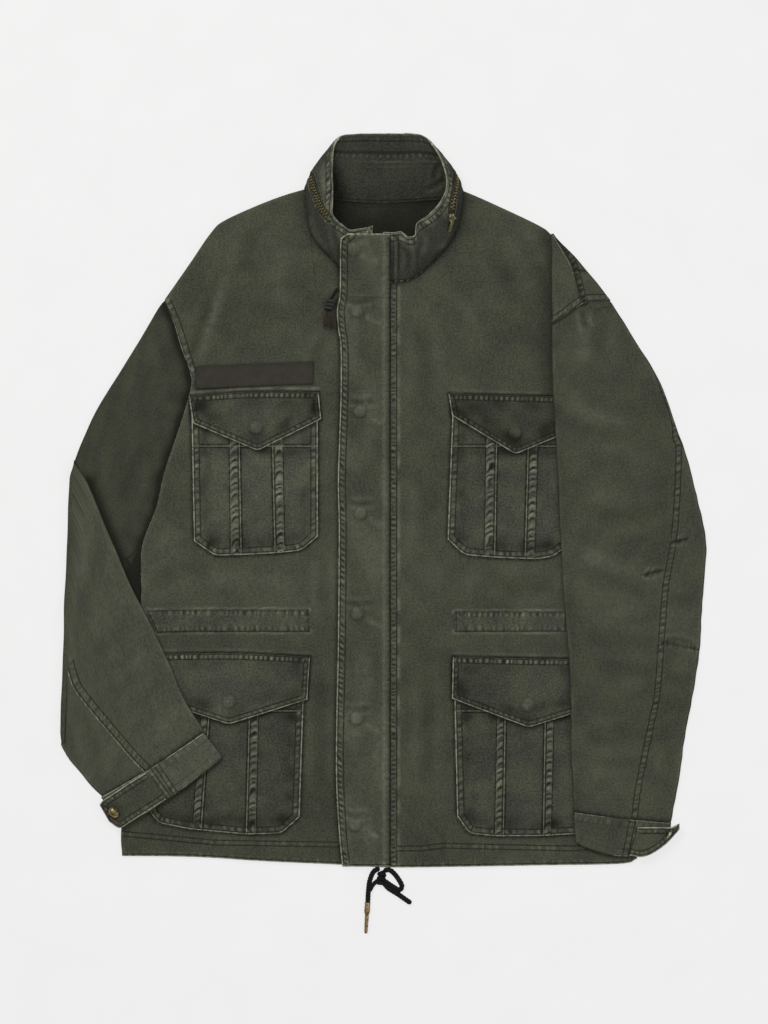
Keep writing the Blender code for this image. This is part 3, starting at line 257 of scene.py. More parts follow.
finishes = {
    "twill": washedTwill("washedCottonTwill", twillLook),
    "pocket": washedTwill("washedPocketTwill", pocketLook),
    "collar": washedTwill("washedCollarTwill", collarLook),
    "inside": washedTwill("insideTwill", shadedInsideLook, "object"),
    "lining": washedTwill("neckLiningTwill", shadedInsideLook),
    "tape": wovenTape(),
    "brass": agedBrass("agedBrass", "#B0A77E", "#6A6347"),
    "darkBrass": agedBrass("darkBrass", "#8A7B55", "#454031"),
    # brass painted paler and greyer, for the light it catches seen edge on
    "paleBrass": agedBrass("paleBrass", "#A6A28E", "#5C594C"),
    "tipBrass": agedBrass("tipBrass", "#A28A62", "#6B5A3C"),
    "cord": braidedCotton("blackBraidedCotton", "#141414", "#060606"),
    "fray": braidedCotton("brownFrayedCotton", "#39352C", "#211E19", 0.9),
    "zipTape": braidedCotton("oliveZipTape", "#3B3625", "#211E15", 0.9),
    # black cord mixed with paler fibres: painted highlights
    "paintedHighlightCord": braidedCotton("rubbedBraidedCotton", "#3C3D36", "#0E0E0D"),
    "thread": braidedCotton("dyedThread", "#3A3C31", "#26271F", 0.9),
}


def unit(ways):
    return ways / (np.linalg.norm(ways, axis=-1, keepdims=True) + 1e-12)


def runOf(path):
    # how far along a path each of its points is
    return np.concatenate([[0], np.cumsum(np.linalg.norm(np.diff(path, axis=0), axis=1))])


def circle(count):
    return np.linspace(0, 2 * math.pi, count, endpoint=False)


def lengthOf(path):
    return float(np.linalg.norm(np.diff(path, axis=0), axis=1).sum())


def between(at, run, rows):
    # the rows' values at other places along their run
    return np.stack([np.interp(at, run, column) for column in rows.T], axis=-1)


def spread(path, places):
    # points of a path at an even number of places, or at given shares of its length
    path = np.asarray(path, float)
    run = runOf(path)
    shares = np.linspace(0, 1, places) if isinstance(places, int) else np.asarray(places)
    return between(shares * run[-1], run, path)


def smoothCurve(points, first, last):
    # a Catmull-Rom curve, twelve steps to a span, from its points and one more before and after them
    ends = np.vstack([first, points, last])
    t = np.linspace(0, 1, 13)[:-1, None]
    rows = [0.5 * (2 * b + (c - a) * t + (2 * a - 5 * b + 4 * c - d) * t ** 2 + (3 * b - a - 3 * c + d) * t ** 3)
            for a, b, c, d in zip(ends, ends[1:], ends[2:], ends[3:])]
    return np.vstack([*rows, points[-1:]])


def curveThrough(points, step=3.0):
    # an even curve through points of any number of coordinates
    points = np.asarray(points, float)
    dense = smoothCurve(points, 2 * points[0] - points[1], 2 * points[-1] - points[-2])
    return spread(dense, max(2, round(lengthOf(dense) / step) + 1))


def directions(path):
    return unit(np.gradient(path, axis=0))


def stations(length, step, near=(0.0, 0.35, 0.9, 1.7, 2.8, 4.0, 5.2, 6.4, 7.6, 8.8, 10.1), ends="both"):
    # shares of a length, close together beside the ends that are folded and then evenly spaced
    first = [n for n in near if n < length / 2.2] if ends in ("both", "first") else [0.0]
    last = [length - n for n in near if n < length / 2.2] if ends in ("both", "last") else [length]
    count = max(2, round((last[-1] - first[-1]) / step) + 1)
    middle = np.linspace(first[-1], last[-1], count)[1:-1]
    return np.array([*first, *middle, *reversed(last)]) / length


def nearest(path, x, y, reach=14.0):
    # distance to a path, the run along it and the side (left is positive), out to a little beyond reach
    path = np.asarray(path, float)[:, :2]
    far, run, side = np.full(x.shape, farOff), np.zeros(x.shape), np.ones(x.shape)
    low, high = path.min(0) - reach, path.max(0) + reach
    close = (x > low[0]) & (x < high[0]) & (y > low[1]) & (y < high[1])
    px, py = x[close], y[close]
    best, bestRun, bestSide = np.full(px.shape, farOff), np.zeros(px.shape), np.ones(px.shape)
    done = 0.0
    for a, b in zip(path, path[1:]):
        way = b - a
        length = math.hypot(*way)
        if length < 1e-9:
            continue
        along = np.clip(((px - a[0]) * way[0] + (py - a[1]) * way[1]) / length ** 2, 0, 1)
        dx, dy = px - a[0] - way[0] * along, py - a[1] - way[1] * along
        gap = np.hypot(dx, dy)
        nearer = gap < best
        best[nearer] = gap[nearer]
        bestRun[nearer] = (done + along * length)[nearer]
        bestSide[nearer] = np.sign(way[0] * dy - way[1] * dx + 1e-9)[nearer]
        done += length
    far[close], run[close], side[close] = best, bestRun, bestSide
    return far, run, side


def towards(path, point):
    # which side of a path a point is on: 1 is the left of its direction
    return int(nearest(path, np.array([float(point[0])]), np.array([float(point[1])]), 2000.0)[2][0])


def sideOf(path, side):
    # a side can be given as 1, as -1 or as a point that lies on it
    return side if isinstance(side, int) else towards(path, side)


def offsetPath(path, away):
    # the path moved to its left by so many millimetres
    path = np.asarray(path, float)[:, :2]
    way = directions(path)
    return path + np.stack([-way[:, 1], way[:, 0]], axis=1) * away


def ease(share):
    share = np.clip(share, 0, 1)
    return share * share * (3 - 2 * share)


def bell(value, width):
    return np.exp(-(value / width) ** 2)


def wander(seed, size, x, y=0.0):
    # smooth uneven values, about -1 to 1, that change over so many millimetres
    rng = np.random.default_rng(seed)
    total = 0.0
    for _ in range(6):
        angle, phase, pitch = rng.uniform(0, 6.283, 3)
        wave = 2 * math.pi / (size * (0.7 + 0.15 * pitch))
        total = total + np.sin((x * math.cos(angle) + y * math.sin(angle)) * wave + phase)
    return total / 2.6


def patches(seed, size, x, y=0.0, mean=0.7, swing=0.5, low=0.0, high=1.0):
    # an uneven share that breaks up what would look too regular
    return np.clip(mean + swing * wander(seed, size, x, y), low, high)


def treeOf(node):
    mesh = nodes[node].data
    return BVHTree.FromPolygons([v.co[:] for v in mesh.vertices], [p.vertices[:] for p in mesh.polygons])


def dropOn(tree, x, y, fromBelow=False):
    # where a vertical line first meets a surface, and the way that it faces there
    start, way = (-0.05, 1) if fromBelow else (0.3, -1)
    return tree.ray_cast(Vector((x * mm, y * mm, start)), Vector((0, 0, way)))[:2]


def heightField(node, step=4.0, blur=8.0, inset=0.0):
    # The upper surface of a node as a smooth function of x and y. Its facets are blurred away, and inset
    # leaves out a margin where the surface turns down to its edge.
    low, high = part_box(node)
    tree = treeOf(node)
    xs, ys = [np.arange(a / mm - 3 * step, b / mm + 3 * step, step) for a, b in zip(low[:2], high[:2])]
    found = np.full((len(ys), len(xs)), np.nan)
    for j, y in enumerate(ys):
        for i, x in enumerate(xs):
            hit = dropOn(tree, x, y)[0]
            if hit:
                found[j, i] = hit.z / mm
    known = ~np.isnan(found)
    for _ in range(round(inset / step)):
        grown = known.copy()
        grown[1:-1, 1:-1] = (known[1:-1, 1:-1] & known[:-2, 1:-1] & known[2:, 1:-1]
                             & known[1:-1, :-2] & known[1:-1, 2:])
        known = grown
    half = max(1, round(3 * blur / step))
    kernel = np.exp(-0.5 * (np.arange(-half, half + 1) * step / blur) ** 2)
    kernel /= kernel.sum()

    def blurred(grid):
        for axis in (0, 1):
            grid = np.apply_along_axis(lambda line: np.convolve(line, kernel, mode="same"), axis, grid)
        return grid

    weight = blurred(known.astype(float))
    value = blurred(np.where(known, found, 0.0))
    field = np.where(weight > 1e-4, value / np.maximum(weight, 1e-9), np.nan)
    while np.isnan(field).any():
        spaced = np.pad(field, 1, constant_values=np.nan)
        around = np.stack([spaced[:-2, 1:-1], spaced[2:, 1:-1], spaced[1:-1, :-2], spaced[1:-1, 2:]])
        count = (~np.isnan(around)).sum(0)
        mean = np.nansum(around, axis=0) / np.maximum(count, 1)
        field = np.where(np.isnan(field) & (count > 0), mean, field)

    def sample(x, y):
        u = np.clip((x - xs[0]) / step, 0, len(xs) - 1.001)
        v = np.clip((y - ys[0]) / step, 0, len(ys) - 1.001)
        i, j = u.astype(int), v.astype(int)
        s, t = u - i, v - j
        return ((field[j, i] * (1 - s) + field[j, i + 1] * s) * (1 - t)
                + (field[j + 1, i] * (1 - s) + field[j + 1, i + 1] * s) * t)

    return sample


def laid(plan, node, **field):
    # cloth from its plan, at the heights of a node's upper surface
    z = heightField(node, **field)(plan[..., 0], plan[..., 1])
    return Cloth(np.concatenate([plan, z[..., None]], axis=2))


def patch(bottom, top, left, right, across, along):
    # points in plan inside four edges that meet at their corners
    bottom, top = spread(bottom, across), spread(top, across)
    left, right = spread(left, along), spread(right, along)
    u, v = across[None, :, None], along[:, None, None]
    corners = ((bottom[0] * (1 - u) + bottom[-1] * u) * (1 - v) + (top[0] * (1 - u) + top[-1] * u) * v)
    return (left[:, None] * (1 - u) + right[:, None] * u + bottom[None] * (1 - v) + top[None] * v - corners)


def columnsBetween(bottom, top, across, along):
    # points in plan on straight columns from a lower edge to an upper one
    bottom, top = spread(bottom, across), spread(top, across)
    v = along[:, None, None]
    return bottom[None] * (1 - v) + top[None] * v


def gridFaces(rows, columns, ring=False):
    # the quads of a grid of points, also from its last column to its first where it is a ring
    index = np.arange(rows * columns).reshape(rows, columns)
    after = np.roll(index, -1, axis=1)
    quads = np.stack([index[:-1], after[:-1], after[1:], index[1:]], axis=-1)
    return (quads if ring else quads[:, :-1]).reshape(-1, 4)


def ringsAbout(centre, aside, above, radius, angle):
    # circles of points, one about each centre
    return (centre[:, None] + (radius * np.cos(angle))[..., None] * aside[:, None]
            + (radius * np.sin(angle))[..., None] * above[:, None]).reshape(-1, 3)


def meshPiece(name, points, faces, finish, slot=None, replaced=(), body="jacket", smooth=True):
    mesh = bpy.data.meshes.new(name)
    faces = faces.tolist() if hasattr(faces, "tolist") else faces
    mesh.from_pydata((np.asarray(points) * mm).tolist(), [], faces)
    mesh.update()
    mesh.polygons.foreach_set("use_smooth", [smooth] * len(mesh.polygons))
    mesh.materials.append(finish)
    piece = bpy.data.objects.new(name, mesh)
    bpy.context.scene.collection.objects.link(piece)
    if slot:
        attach(piece, body)
    if replaced:
        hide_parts(*replaced)
    return piece


class Cloth:
    # A piece of cloth as a grid of points, with what its finish has to know at each of them.
    def __init__(self, points, grain=None, closed=False):
        self.points = np.asarray(points, float)
        self.closed = closed  # the columns run all the way round a tube
        self.shape = self.points.shape[:2]
        self.x, self.y = self.points[..., 0], self.points[..., 1]
        self.grain = self.points[..., :2] if grain is None else grain
        self.relief, self.worn, self.dark = [np.zeros(self.shape) for _ in range(3)]
        self.edge = np.full(self.shape, clear)  # millimetres to the nearest rubbed edge
        self.row = np.full(self.shape, clear)   # to the nearest stitching, below zero inside a band of it
        self.where = np.ones(self.shape, bool)
        self.threads = []
        across = np.gradient(self.points, axis=1)
        if closed:
            once = self.points[:, :-1]
            across = np.roll(once, -1, axis=1) - np.roll(once, 1, axis=1)
            across = np.concatenate([across, across[:, :1]], axis=1)
        self.facing = unit(np.cross(across, np.gradient(self.points, axis=0)))
        upper = slice(self.shape[1] * 5 // 8, self.shape[1] * 7 // 8) if closed else slice(None)
        self.flipped = bool(np.mean(self.facing[: max(3, self.shape[0] // 8), upper, 2]) < 0)
        if self.flipped:
            self.facing = -self.facing

    def rub(self, gap):
        # a pale line where an edge this far away is rubbed
        self.edge = np.minimum(self.edge, gap)

    def fold(self, path, radius=1.5, wear=1.0, soft=3.0, seed=1):
        # a folded edge that rolls down and is rubbed pale
        gap, run, _ = nearest(path, self.x, self.y)
        gap = np.where(self.where, gap, farOff)
        inside = np.clip(radius - gap, 0, radius)
        self.relief -= np.where(gap < radius, radius - np.sqrt(radius ** 2 - inside ** 2 + 1e-9), 0)
        self.rub(gap + 1.9 * (1 - min(wear, 1.0)))
        self.worn += 0.22 * wear * (0.75 + 0.35 * wander(seed, 38, run)) * bell(gap, soft)

    def stitched(self, path, rows, side=1, pucker=0.28, period=8.6, lean=0.15, seed=1, raised=0.25,
                 spill=0.2, shade=1.0, notch=1.0, shown=True):
        # Rows of stitching beside a path, and the cloth between them, which has shrunk into puckers.
        # Where it isn't shown, the seam itself is hidden and only draws the cloth beside it.
        side = sideOf(path, side)
        gap, run, hand = nearest(path, self.x, self.y, 24.0)
        aside = gap * hand * side
        first, last = (rows[0], rows[-1]) if len(rows) > 1 else (rows[0] - 3.4, rows[0] + 3.4)
        on = self.where & (aside > first - 3.0) & (gap < 24) & (run > 0)
        middle, half = (first + last) / 2, (last - first) / 2
        band = ease((aside - first + 0.2) / 1.6) * ease((last - aside + 0.2) / 1.6)
        outside = spill * np.exp(-np.clip(np.abs(aside - middle) - half, 0, 40) / 3.0)
        place = run + lean * aside + 0.28 * period * wander(seed, 23, run)
        turn = 2 * math.pi * place / period
        wave = 0.70 * np.cos(turn) + 0.30 * np.cos(turn / 0.56 + seed) + 0.30 * np.cos(turn / 2.3 + 2 * seed)
        strength = np.where(on, np.maximum(band, outside), 0) * patches(seed + 7, 34, run, 0, 0.75, 0.5, 0.15, 1.4)
        self.relief += strength * pucker * wave + np.where(on, raised * band, 0)
        self.worn += 0.36 * shade * strength * np.clip(wave + 0.15, 0, 1)
        self.dark += 0.60 * shade * notch * strength * np.clip(-wave - 0.1, 0, 1)
        if shown in (True, "line"):
            away = np.abs(aside - middle) - half if len(rows) > 1 else aside - rows[0]
            self.row = np.minimum(self.row, np.where(on, away, clear))
        if shown in (True, "thread"):
            self.threads += [offsetPath(path, row * side) for row in rows]

    def ladder(self, path, inset, width, period, light, dark, side=1, lean=0.0, seed=1, steady=0.4):
        # short puckers across a stitched band: each has a dark pit and a rubbed rise beside it
        gap, run, hand = nearest(path, self.x, self.y, 24.0)
        aside = gap * hand * sideOf(path, side)
        place = run + lean * aside + 0.25 * period * wander(seed, 19, run)
        turn = np.cos(2 * math.pi * place / period)
        band = np.exp(-((aside - inset) / width) ** 4)
        band = band * patches(seed + 7, 31, run, 0, 0.5 + steady, 0.4, steady, 1.4)
        band = np.where(self.where & (gap < 24), band, 0)
        self.relief -= 0.25 * band * turn
        self.dark += dark * band * np.clip(turn, 0, 1) ** 1.5
        self.worn += light * band * np.clip(-turn, 0, 1) ** 1.5

    def crease(self, path, width, depth, dark=0.35, worn=0.2, seed=1):
        # a soft trough (depth below zero) or ridge, tapered at its ends and uneven on the way
        path = curveThrough(path, 4.0)
        gap, run, _ = nearest(path, self.x, self.y, 2.6 * width)
        length = lengthOf(path)
        taper = np.where(self.where, ease(np.minimum(run, length - run) / (0.25 * length + 1e-9)), 0)
        shape = bell(gap, width) * taper * (0.8 + 0.3 * wander(seed, length * 0.45, run))
        self.relief += depth * shape
        if depth < 0:
            rim = bell(gap - 1.7 * width, 0.8 * width) * taper
            # the trough painted darker, as shade and as the dye kept in it
            self.dark += dark * shape
            self.worn += worn * 0.5 * rim
            self.relief -= 0.25 * depth * rim
        else:
            self.worn += worn * shape

    def creases(self, table, seed, widen=1.0, deepen=1.0, dark=0.35, worn=0.2):
        # from a path, a width and a depth each (a trough below zero)
        for number, (path, width, depth) in enumerate(table):
            self.crease(path, widen * width, deepen * depth, dark, worn, seed + number)

    def shadowAndDyeBeside(self, path, reach=2.5, amount=0.5, side=None, seed=None):
        # darker beside a path: painted shadow beside and under what lies on the cloth, and close to a seam the dye
        # it keeps too; in patches where a seed is given
        gap, _, hand = nearest(path, self.x, self.y, 3 * reach)
        near = np.where(self.where, bell(gap, reach), 0)
        if side is not None:
            near = near * (hand * sideOf(path, side) > 0)
        if seed is not None:
            near = near * patches(seed, 30, self.x, self.y, 0.6, 0.6, 0.05, 1.3)
        self.dark += amount * near

    def tone(self, depth):
        # the whole of what is seen a little deeper, or paler below zero
        self.dark += np.where(self.where, max(depth, 0), 0)
        self.worn += np.where(self.where, max(-depth, 0), 0)

    def ripple(self, seed, size, amount, stretch=(1.0, 1.0)):
        # slow unevenness of cloth that lies loose
        self.relief += amount * wander(seed, size, self.x * stretch[0], self.y * stretch[1])

    def dome(self, centre, radius, height, shade=0.4, pale=0.14):
        # a snap's cap under the cloth, with its shadow deeper on the side of the hem
        gap = np.hypot(self.x - centre[0], self.y - centre[1])
        under = 0.65 + 0.35 * np.clip(-(self.y - centre[1]) / radius, -1, 1)
        self.relief += height * ease((radius * 1.12 - gap) / (radius * 0.62))
        self.dark += shade * bell(gap - radius * 1.08, 1.5) * under
        self.worn += pale * ease((radius * 1.05 - gap) / 2.0)

    def finished(self):
        return self.points + self.facing * self.relief[..., None]

    def build(self, name, replaced, flat, restsOn, finish="twill", slot="twill", rim=1.2):
        # the mesh with a rim turned down all round a panel, and its stitches; the cut that shows in millimetres is
        # not used
        rows, columns = self.shape
        index = np.arange(rows * columns).reshape(rows, columns)
        quads = gridFaces(rows, columns)
        points = self.finished().reshape(-1, 3)
        source = np.arange(rows * columns)
        if rim and not self.closed:
            loop = np.concatenate([index[0], index[1:, -1], index[-1, -2::-1], index[-2:0:-1, 0]])
            k = np.arange(len(loop))
            after = (k + 1) % len(loop)
            under = len(points)
            quads = np.vstack([quads, np.stack([loop[after], loop, under + k, under + after], axis=1)])
            points = np.vstack([points, points[loop] - self.facing.reshape(-1, 3)[loop] * rim])
            source = np.concatenate([source, loop])
        quads = quads[:, ::-1] if self.flipped else quads
        self.piece = meshPiece(name, points, quads, finishes[finish], slot, replaced)
        mesh = self.piece.data
        for key, least, most in (("worn", 0, 1), ("dark", 0, 1), ("edge", -clear, clear), ("row", -clear, clear)):
            values = np.clip(getattr(self, key).ravel()[source], least, most)
            mesh.attributes.new(key, "FLOAT", "POINT").data.foreach_set("value", values.astype(np.float32))
        corners = np.zeros(len(mesh.loops), np.int32)
        mesh.loops.foreach_get("vertex_index", corners)
        grain = self.grain.reshape(-1, 2)[source][corners] * mm
        mesh.uv_layers.new(name="weave").data.foreach_set("uv", grain.astype(np.float32).ravel())
        self.sew(name.removesuffix("Cloth") + "Stitches")

    def sew(self, name):
        # every stitch of a piece's visible rows, lying in its groove
        tree = BVHTree.FromObject(self.piece, bpy.context.evaluated_depsgraph_get())
        cells = []
        for path in self.threads:
            length = lengthOf(path)
            shares = (np.arange(int(length / thread["pitch"])) + 0.5) * thread["pitch"] / length
            spots = spread(path, shares)
            ways = spread(path, np.minimum(shares + 0.4 / length, 1)) - spots
            for (x, y), (wx, wy) in zip(spots, ways):
                hit, facing = dropOn(tree, x, y)
                if hit is not None and facing.z > 0.2 and abs(wx) + abs(wy) > 1e-9:
                    cells.append((np.array(hit) / mm, np.array((wx, wy, 0.0)), np.array(facing)))
        if cells:
            threadBars(name, cells)


thread = {"pitch": 3.3, "length": 2.5, "width": 0.62, "height": 0.34}


def threadBars(name, cells):
    # short bars of thread, each from its centre, its direction and the way the cloth faces
    centre, way, facing = [np.array([c[k] for c in cells]) for k in range(3)]
    across = unit(np.cross(facing, way))
    way = np.cross(across, facing)
    half = thread["length"] / 2
    shape = [(-half, 0, -0.1)]
    for spot in (-0.55, 0.55):
        for angle in math.pi * (np.arange(4) / 2 + 0.25):
            shape.append((spot * half, math.cos(angle) * thread["width"] / 1.5,
                          math.sin(angle) * thread["height"] / 1.5 + 0.08))
    shape = np.array([*shape, (half, 0, -0.1)])
    points = (centre[:, None] + way[:, None] * shape[None, :, :1] + across[:, None] * shape[None, :, 1:2]
              + facing[:, None] * shape[None, :, 2:]).reshape(-1, 3)
    one = []
    for turn in range(4):
        after = (turn + 1) % 4
        one += [(0, 1 + after, 1 + turn), (1 + turn, 1 + after, 5 + after, 5 + turn), (5 + turn, 5 + after, 9)]
    faces = [tuple(10 * k + v for v in face) for k in range(len(cells)) for face in one]
    meshPiece(name, points, faces, finishes["thread"], "twill")


def makeFloor():
    # a pale sheet that gives off most of its own brightness, so that only soft shadows fall on it
    made, add, shader = newMaterial("paleSweep")
    place = add("TexCoord", {}, "Object")
    grain = add("TexNoise", {"Vector": place, "Scale": perMetre(60.0), "Detail": 1.0}, "Fac")
    share = add("MapRange", {**smoothStep, 0: grain, 1: 0.3, 2: 0.7})
    colour = add("Mix", {**blend, 0: share, 6: toLinear(light["floor"]), 7: toLinear("#EEEEEE")}, 2)
    dimmed = add("Mix", {**blend, 0: 1 - light["floorGlow"], 6: (0.0, 0.0, 0.0, 1.0), 7: colour}, 2)
    shader({"Base Color": dimmed, "Roughness": 1.0, "Specular IOR Level": 0.0, "Emission Color": colour,
            "Emission Strength": light["floorGlow"]})
    half, level = 6000, -0.3
    corners = [(-half, -half, level), (half, -half, level), (half, half, level), (-half, half, level)]
    meshPiece("floor", corners, [(0, 1, 2, 3)], made, smooth=False)


makeFloor()

sides = {
    "right": [(-301, -408), (-302, -377), (-294, -298), (-288, -217), (-279, -116), (-279, -83), (-277, -49),
              (-261, -6), (-252, 33), (-232, 93), (-222, 128), (-222, 146), (-233, 177), (-241, 204),
              (-252, 231)],
    "left": [(291, -411), (291, -377), (284, -298), (277, -217), (269, -116), (269, -83), (267, -49),
             (251, -6), (241, 33), (222, 93), (212, 128), (212, 146), (223, 177), (231, 204), (244, 231)],
}
shoulders = {
    "right": [(-252, 231), (-223, 273), (-199, 308), (-182, 323), (-132, 345), (-95, 357)],
    "left": [(244, 231), (235, 259), (214, 282), (193, 305), (179, 316), (133, 338), (94, 355)],
}
hems = {
    "right": [(-301, -408), (-220, -409), (-136, -414), (-51, -418), (-7, -421)],
    "left": [(291, -411), (270, -417), (164, -419), (41, -421), (-7, -421)],
}
collar = {
    # seam x, y, z, then top edge x, y, z and how far the face bows, from the front right round the back
    "rows": [
        (-12, 251, 6.4, -13, 313, 32, 4), (-32, 257, 6.4, -26, 310, 34, 5), (-46, 265, 6.6, -38, 308, 37, 6),
        (-61, 277, 6.8, -47, 313, 41, 8), (-74, 291, 7.0, -55, 319, 44, 9), (-83, 308, 7.2, -60, 330, 45, 10),
        (-89, 328, 7.4, -59, 357, 39, 9), (-91, 347, 6.8, -60, 386, 27, 8), (-91, 358, 3.4, -59, 408, 12, 5),
        (-78, 353, 0.6, -51, 419, 2.0, 1), (-56, 346, 0, -37, 421, 0, 0), (-22, 343, 0, -21, 422, 0, 0),
        (15, 343, 0, 13, 421.5, 0, 0), (47, 345, 0, 30, 421.5, 0, 0), (68, 347, 0, 43, 420, 0, 0),
        (82, 352, 0.8, 53, 415, 2.4, 1), (91, 356, 4.0, 60, 405, 12, 4), (90, 341, 6.8, 68, 388, 26, 7),
        (85, 316, 7.2, 73, 362, 38, 9), (76, 297, 7.0, 66, 340, 43, 10), (61, 277, 6.8, 53, 326, 44, 9),
        (41, 259, 6.6, 39, 317, 41, 7), (36.5, 256, 6.55, 37.2, 311, 40, 6.5), (31, 253.3, 6.5, 35.6, 302, 38, 6),
        (26, 251, 6.5, 27, 300, 37, 5), (18, 249, 6.4, 19, 306, 36, 4.5), (10, 248, 6.4, 12, 305, 34.5, 4),
        (-3, 247, 6.4, -1, 305, 33, 4),
    ],
    "neck": (-1, 330, 6),   # what its faces bow away from
    "thick": 2.8,
    "bowShare": 3.6,
    "bowLift": 8.0,
}
centreFront = -7.0
placketSeam = 6.0
placketEdge = [(-48, -420), (-52, -379), (-55, -322), (-55, -260), (-53, -160), (-52, -32), (-53, 24),
               (-50, 120), (-50, 176), (-53, 199), (-54, 221), (-51, 238), (-50, 294), (-47, 301), (-41, 305)]
placketSnaps = [(-31, 218), (-28, 103), (-27, -14), (-31, -129), (-32, -250), (-33, -372)]
pockets = {
    # bag: top edge, where its two sides and the sides of its two pleats are at the top and the bottom,
    # the bottom edge and the stitched mouth; flap: its top and bottom edges and its snap; and how much
    # deeper in tone (or paler, below zero) the bag and the flap are than the rest
    "right_chest": {
        "top": 112, "mouth": 63,
        "edges": [(-221, -218), (-178, -176), (-167, -164), (-129, -125), (-117, -114), (-76, -76)],
        "bottom": [(-218, -46), (-194, -63), (-163, -62), (-123, -60), (-95, -57), (-76, -41)],
        "flapTop": [(-224, 120), (-156, 125), (-75, 125)],
        "flapBottom": [(-219, 89), (-145, 57.5), (-72, 94)],
        "snap": (-147, 84), "tones": (-0.03, 0.06)},
    "left_chest": {
        "top": 112, "mouth": 63,
        "edges": [(79, 73), (118, 115), (130, 127), (167, 162), (178, 173), (219, 216)],
        "bottom": [(73, -44), (92, -62), (126, -65), (175, -67), (194, -64), (216, -48)],
        "flapTop": [(74, 123), (150, 121), (227, 119)],
        "flapBottom": [(78, 98), (151, 53.5), (224, 84)],
        "snap": (150, 78), "tones": (0.04, 0.32)},
    "right_lower": {
        "top": -190, "mouth": -241,
        "edges": [(-270, -269), (-206, -220), (-197, -210), (-153, -158), (-143, -147), (-91, -97)],
        "bottom": [(-269, -357), (-259, -370), (-223, -377), (-159, -383), (-118, -382), (-97, -363)],
        "flapTop": [(-271, -176), (-175, -175), (-85, -179)],
        "flapBottom": [(-268, -227), (-178, -256.5), (-88, -228)],
        "snap": (-178, -230), "tones": (0.15, -0.02)},
    "left_lower": {
        "top": -190, "mouth": -241,
        "edges": [(80, 84), (131, 127), (140, 137), (186, 183), (196, 192), (252, 250)],
        "bottom": [(84, -362), (98, -382), (127, -385), (175, -385), (230, -382), (250, -364)],
        "flapTop": [(79, -179), (168, -181), (255, -182)],
        "flapBottom": [(78, -227), (166, -260), (252, -233)],
        "snap": (165, -233.5), "tones": (0.09, 0.05)},
}
waistStrips = {
    "right": ([(-273, -126), (-225, -125), (-86, -125)], [(-261, -151), (-225, -150), (-85, -150)]),
    "left": ([(81, -127), (150, -127), (210, -127)], [(81, -150), (150, -150), (210, -150)]),
}
nameTape = ([(-216, 153.5), (-81.5, 159.5)], [(-216, 128.5), (-81.5, 134.5)])
# cross-sections of the sleeves and cuffs: both edges in plan, and how far the line between them bends
tubes = {
    "upperArm": [(-244, 232, -251, -102, -41), (-254, 228, -260, -121, -34), (-269, 205, -271, -139, -25),
                 (-285, 179, -284, -160, -17), (-301, 153, -299, -183, -11), (-317, 128, -315, -208, -7),
                 (-334, 99, -332, -233, -3), (-345, 74, -350, -258, -1), (-355.5, 47, -366, -277, 0)],
    "forearm": [(-340, 22, -371, -280, 0), (-322, -23, -367, -288, 0), (-302, -70, -360, -299, 0),
                (-282, -112, -353, -307, 0), (-261, -153, -346, -315, 0), (-244, -191, -339, -324, 0),
                (-227, -229, -332, -332, 0), (-206, -264, -325, -339, -2)],
    "left_shoulder": [(191, 306, 194.5, 307, 0), (191.5, 297, 200.5, 299, 0), (192, 275, 222, 277, 0),
                      (192, 245, 245, 250, -2), (193, 205, 260, 231, -7)],
    "left_sleeve": [(193, 202, 261, 228, -7), (193, 174, 286, 189, -3), (193, 137, 309, 151, 0),
                    (195, 95, 325, 118, 0), (197, 59, 337, 83, 0), (200, 10, 350, 44, 0), (202, -39, 360, 5, 0),
                    (204, -82, 370, -46, 0), (207, -120, 369, -82, 0), (210, -160, 365, -128, 0),
                    (213, -206, 363, -174, 0), (214, -246, 353, -232, 0), (214, -286, 346, -275, 0),
                    (216, -327, 339, -321, 0), (217, -356, 330, -369, 1)],
    "right_cuff": [(-206, -265, -325, -340, -2), (-195, -279, -314, -358, -3), (-185, -294, -302, -375, -4)],
    "left_cuff": [(217, -357, 330, -370, 1), (218, -375, 328, -383, 7), (220, -392, 322, -396, 14)],
}
# cuff tabs from the sewn end to the free end, as pairs of edge points, and their brass snaps
tabs = {
    "right": [((-273, -311), (-250, -342)), ((-292, -323), (-270, -355)), ((-310, -335), (-289, -367)),
              ((-322, -343), (-303, -375)), ((-327, -349), (-316, -368))],
    "left": [((291, -374), (282, -406)), ((309, -374), (296, -408)), ((320, -374), (310, -403)),
             ((330, -374), (325, -392)), ((339, -370), (339, -377))],
}
tabSnaps = {"right": (-309.5, -357, 7.0), "left": (327, -382, 5.6)}
collarZips = {"right": [(-83.5, 372), (-81, 361), (-76, 346), (-70, 332), (-61.5, 321)],
              "left": [(82.5, 373), (81.8, 359), (78.5, 344), (76.5, 330)]}
slider = {"at": ((76.3, 328), (75.6, 319)), "lift": 1.2, "width": 6.4, "height": 1.8, "bridge": 2.7, "bar": 0.7,
          "pullThick": 1.1, "drop": 22.0}  # and how far the pull tab hangs down, in degrees
hemCord = {
    "width": 6.0,
    "z": 3.2,
    "tipEnd": [(-4.5, -422.5), (-9.5, -424), (-13.5, -428.5), (-16.5, -437), (-17.5, -444),
                (-18.2, -452), (-18.7, -463.5)],
    "tip": ((-18.8, -461.0), (-20.9, -497), 3.6, -0.02),
    "knot": (-3, -433, 4.3),
    "strand": [(-3, -433, 3.4), (-8.5, -437.2, 3.0), (-13.2, -441.8, 2.9), (-16.9, -449, 2.9)],
    "loop": [(-1, -425), (6, -424), (12, -428.5), (17.5, -436), (20.5, -442.5), (17.5, -447),
             (10, -443), (-1, -435.5)],
    "bareEnd": [(-1, -438), (4.6, -444.6), (10, -448.2), (17, -452.5), (24, -457.4), (31.5, -462.5)],
}
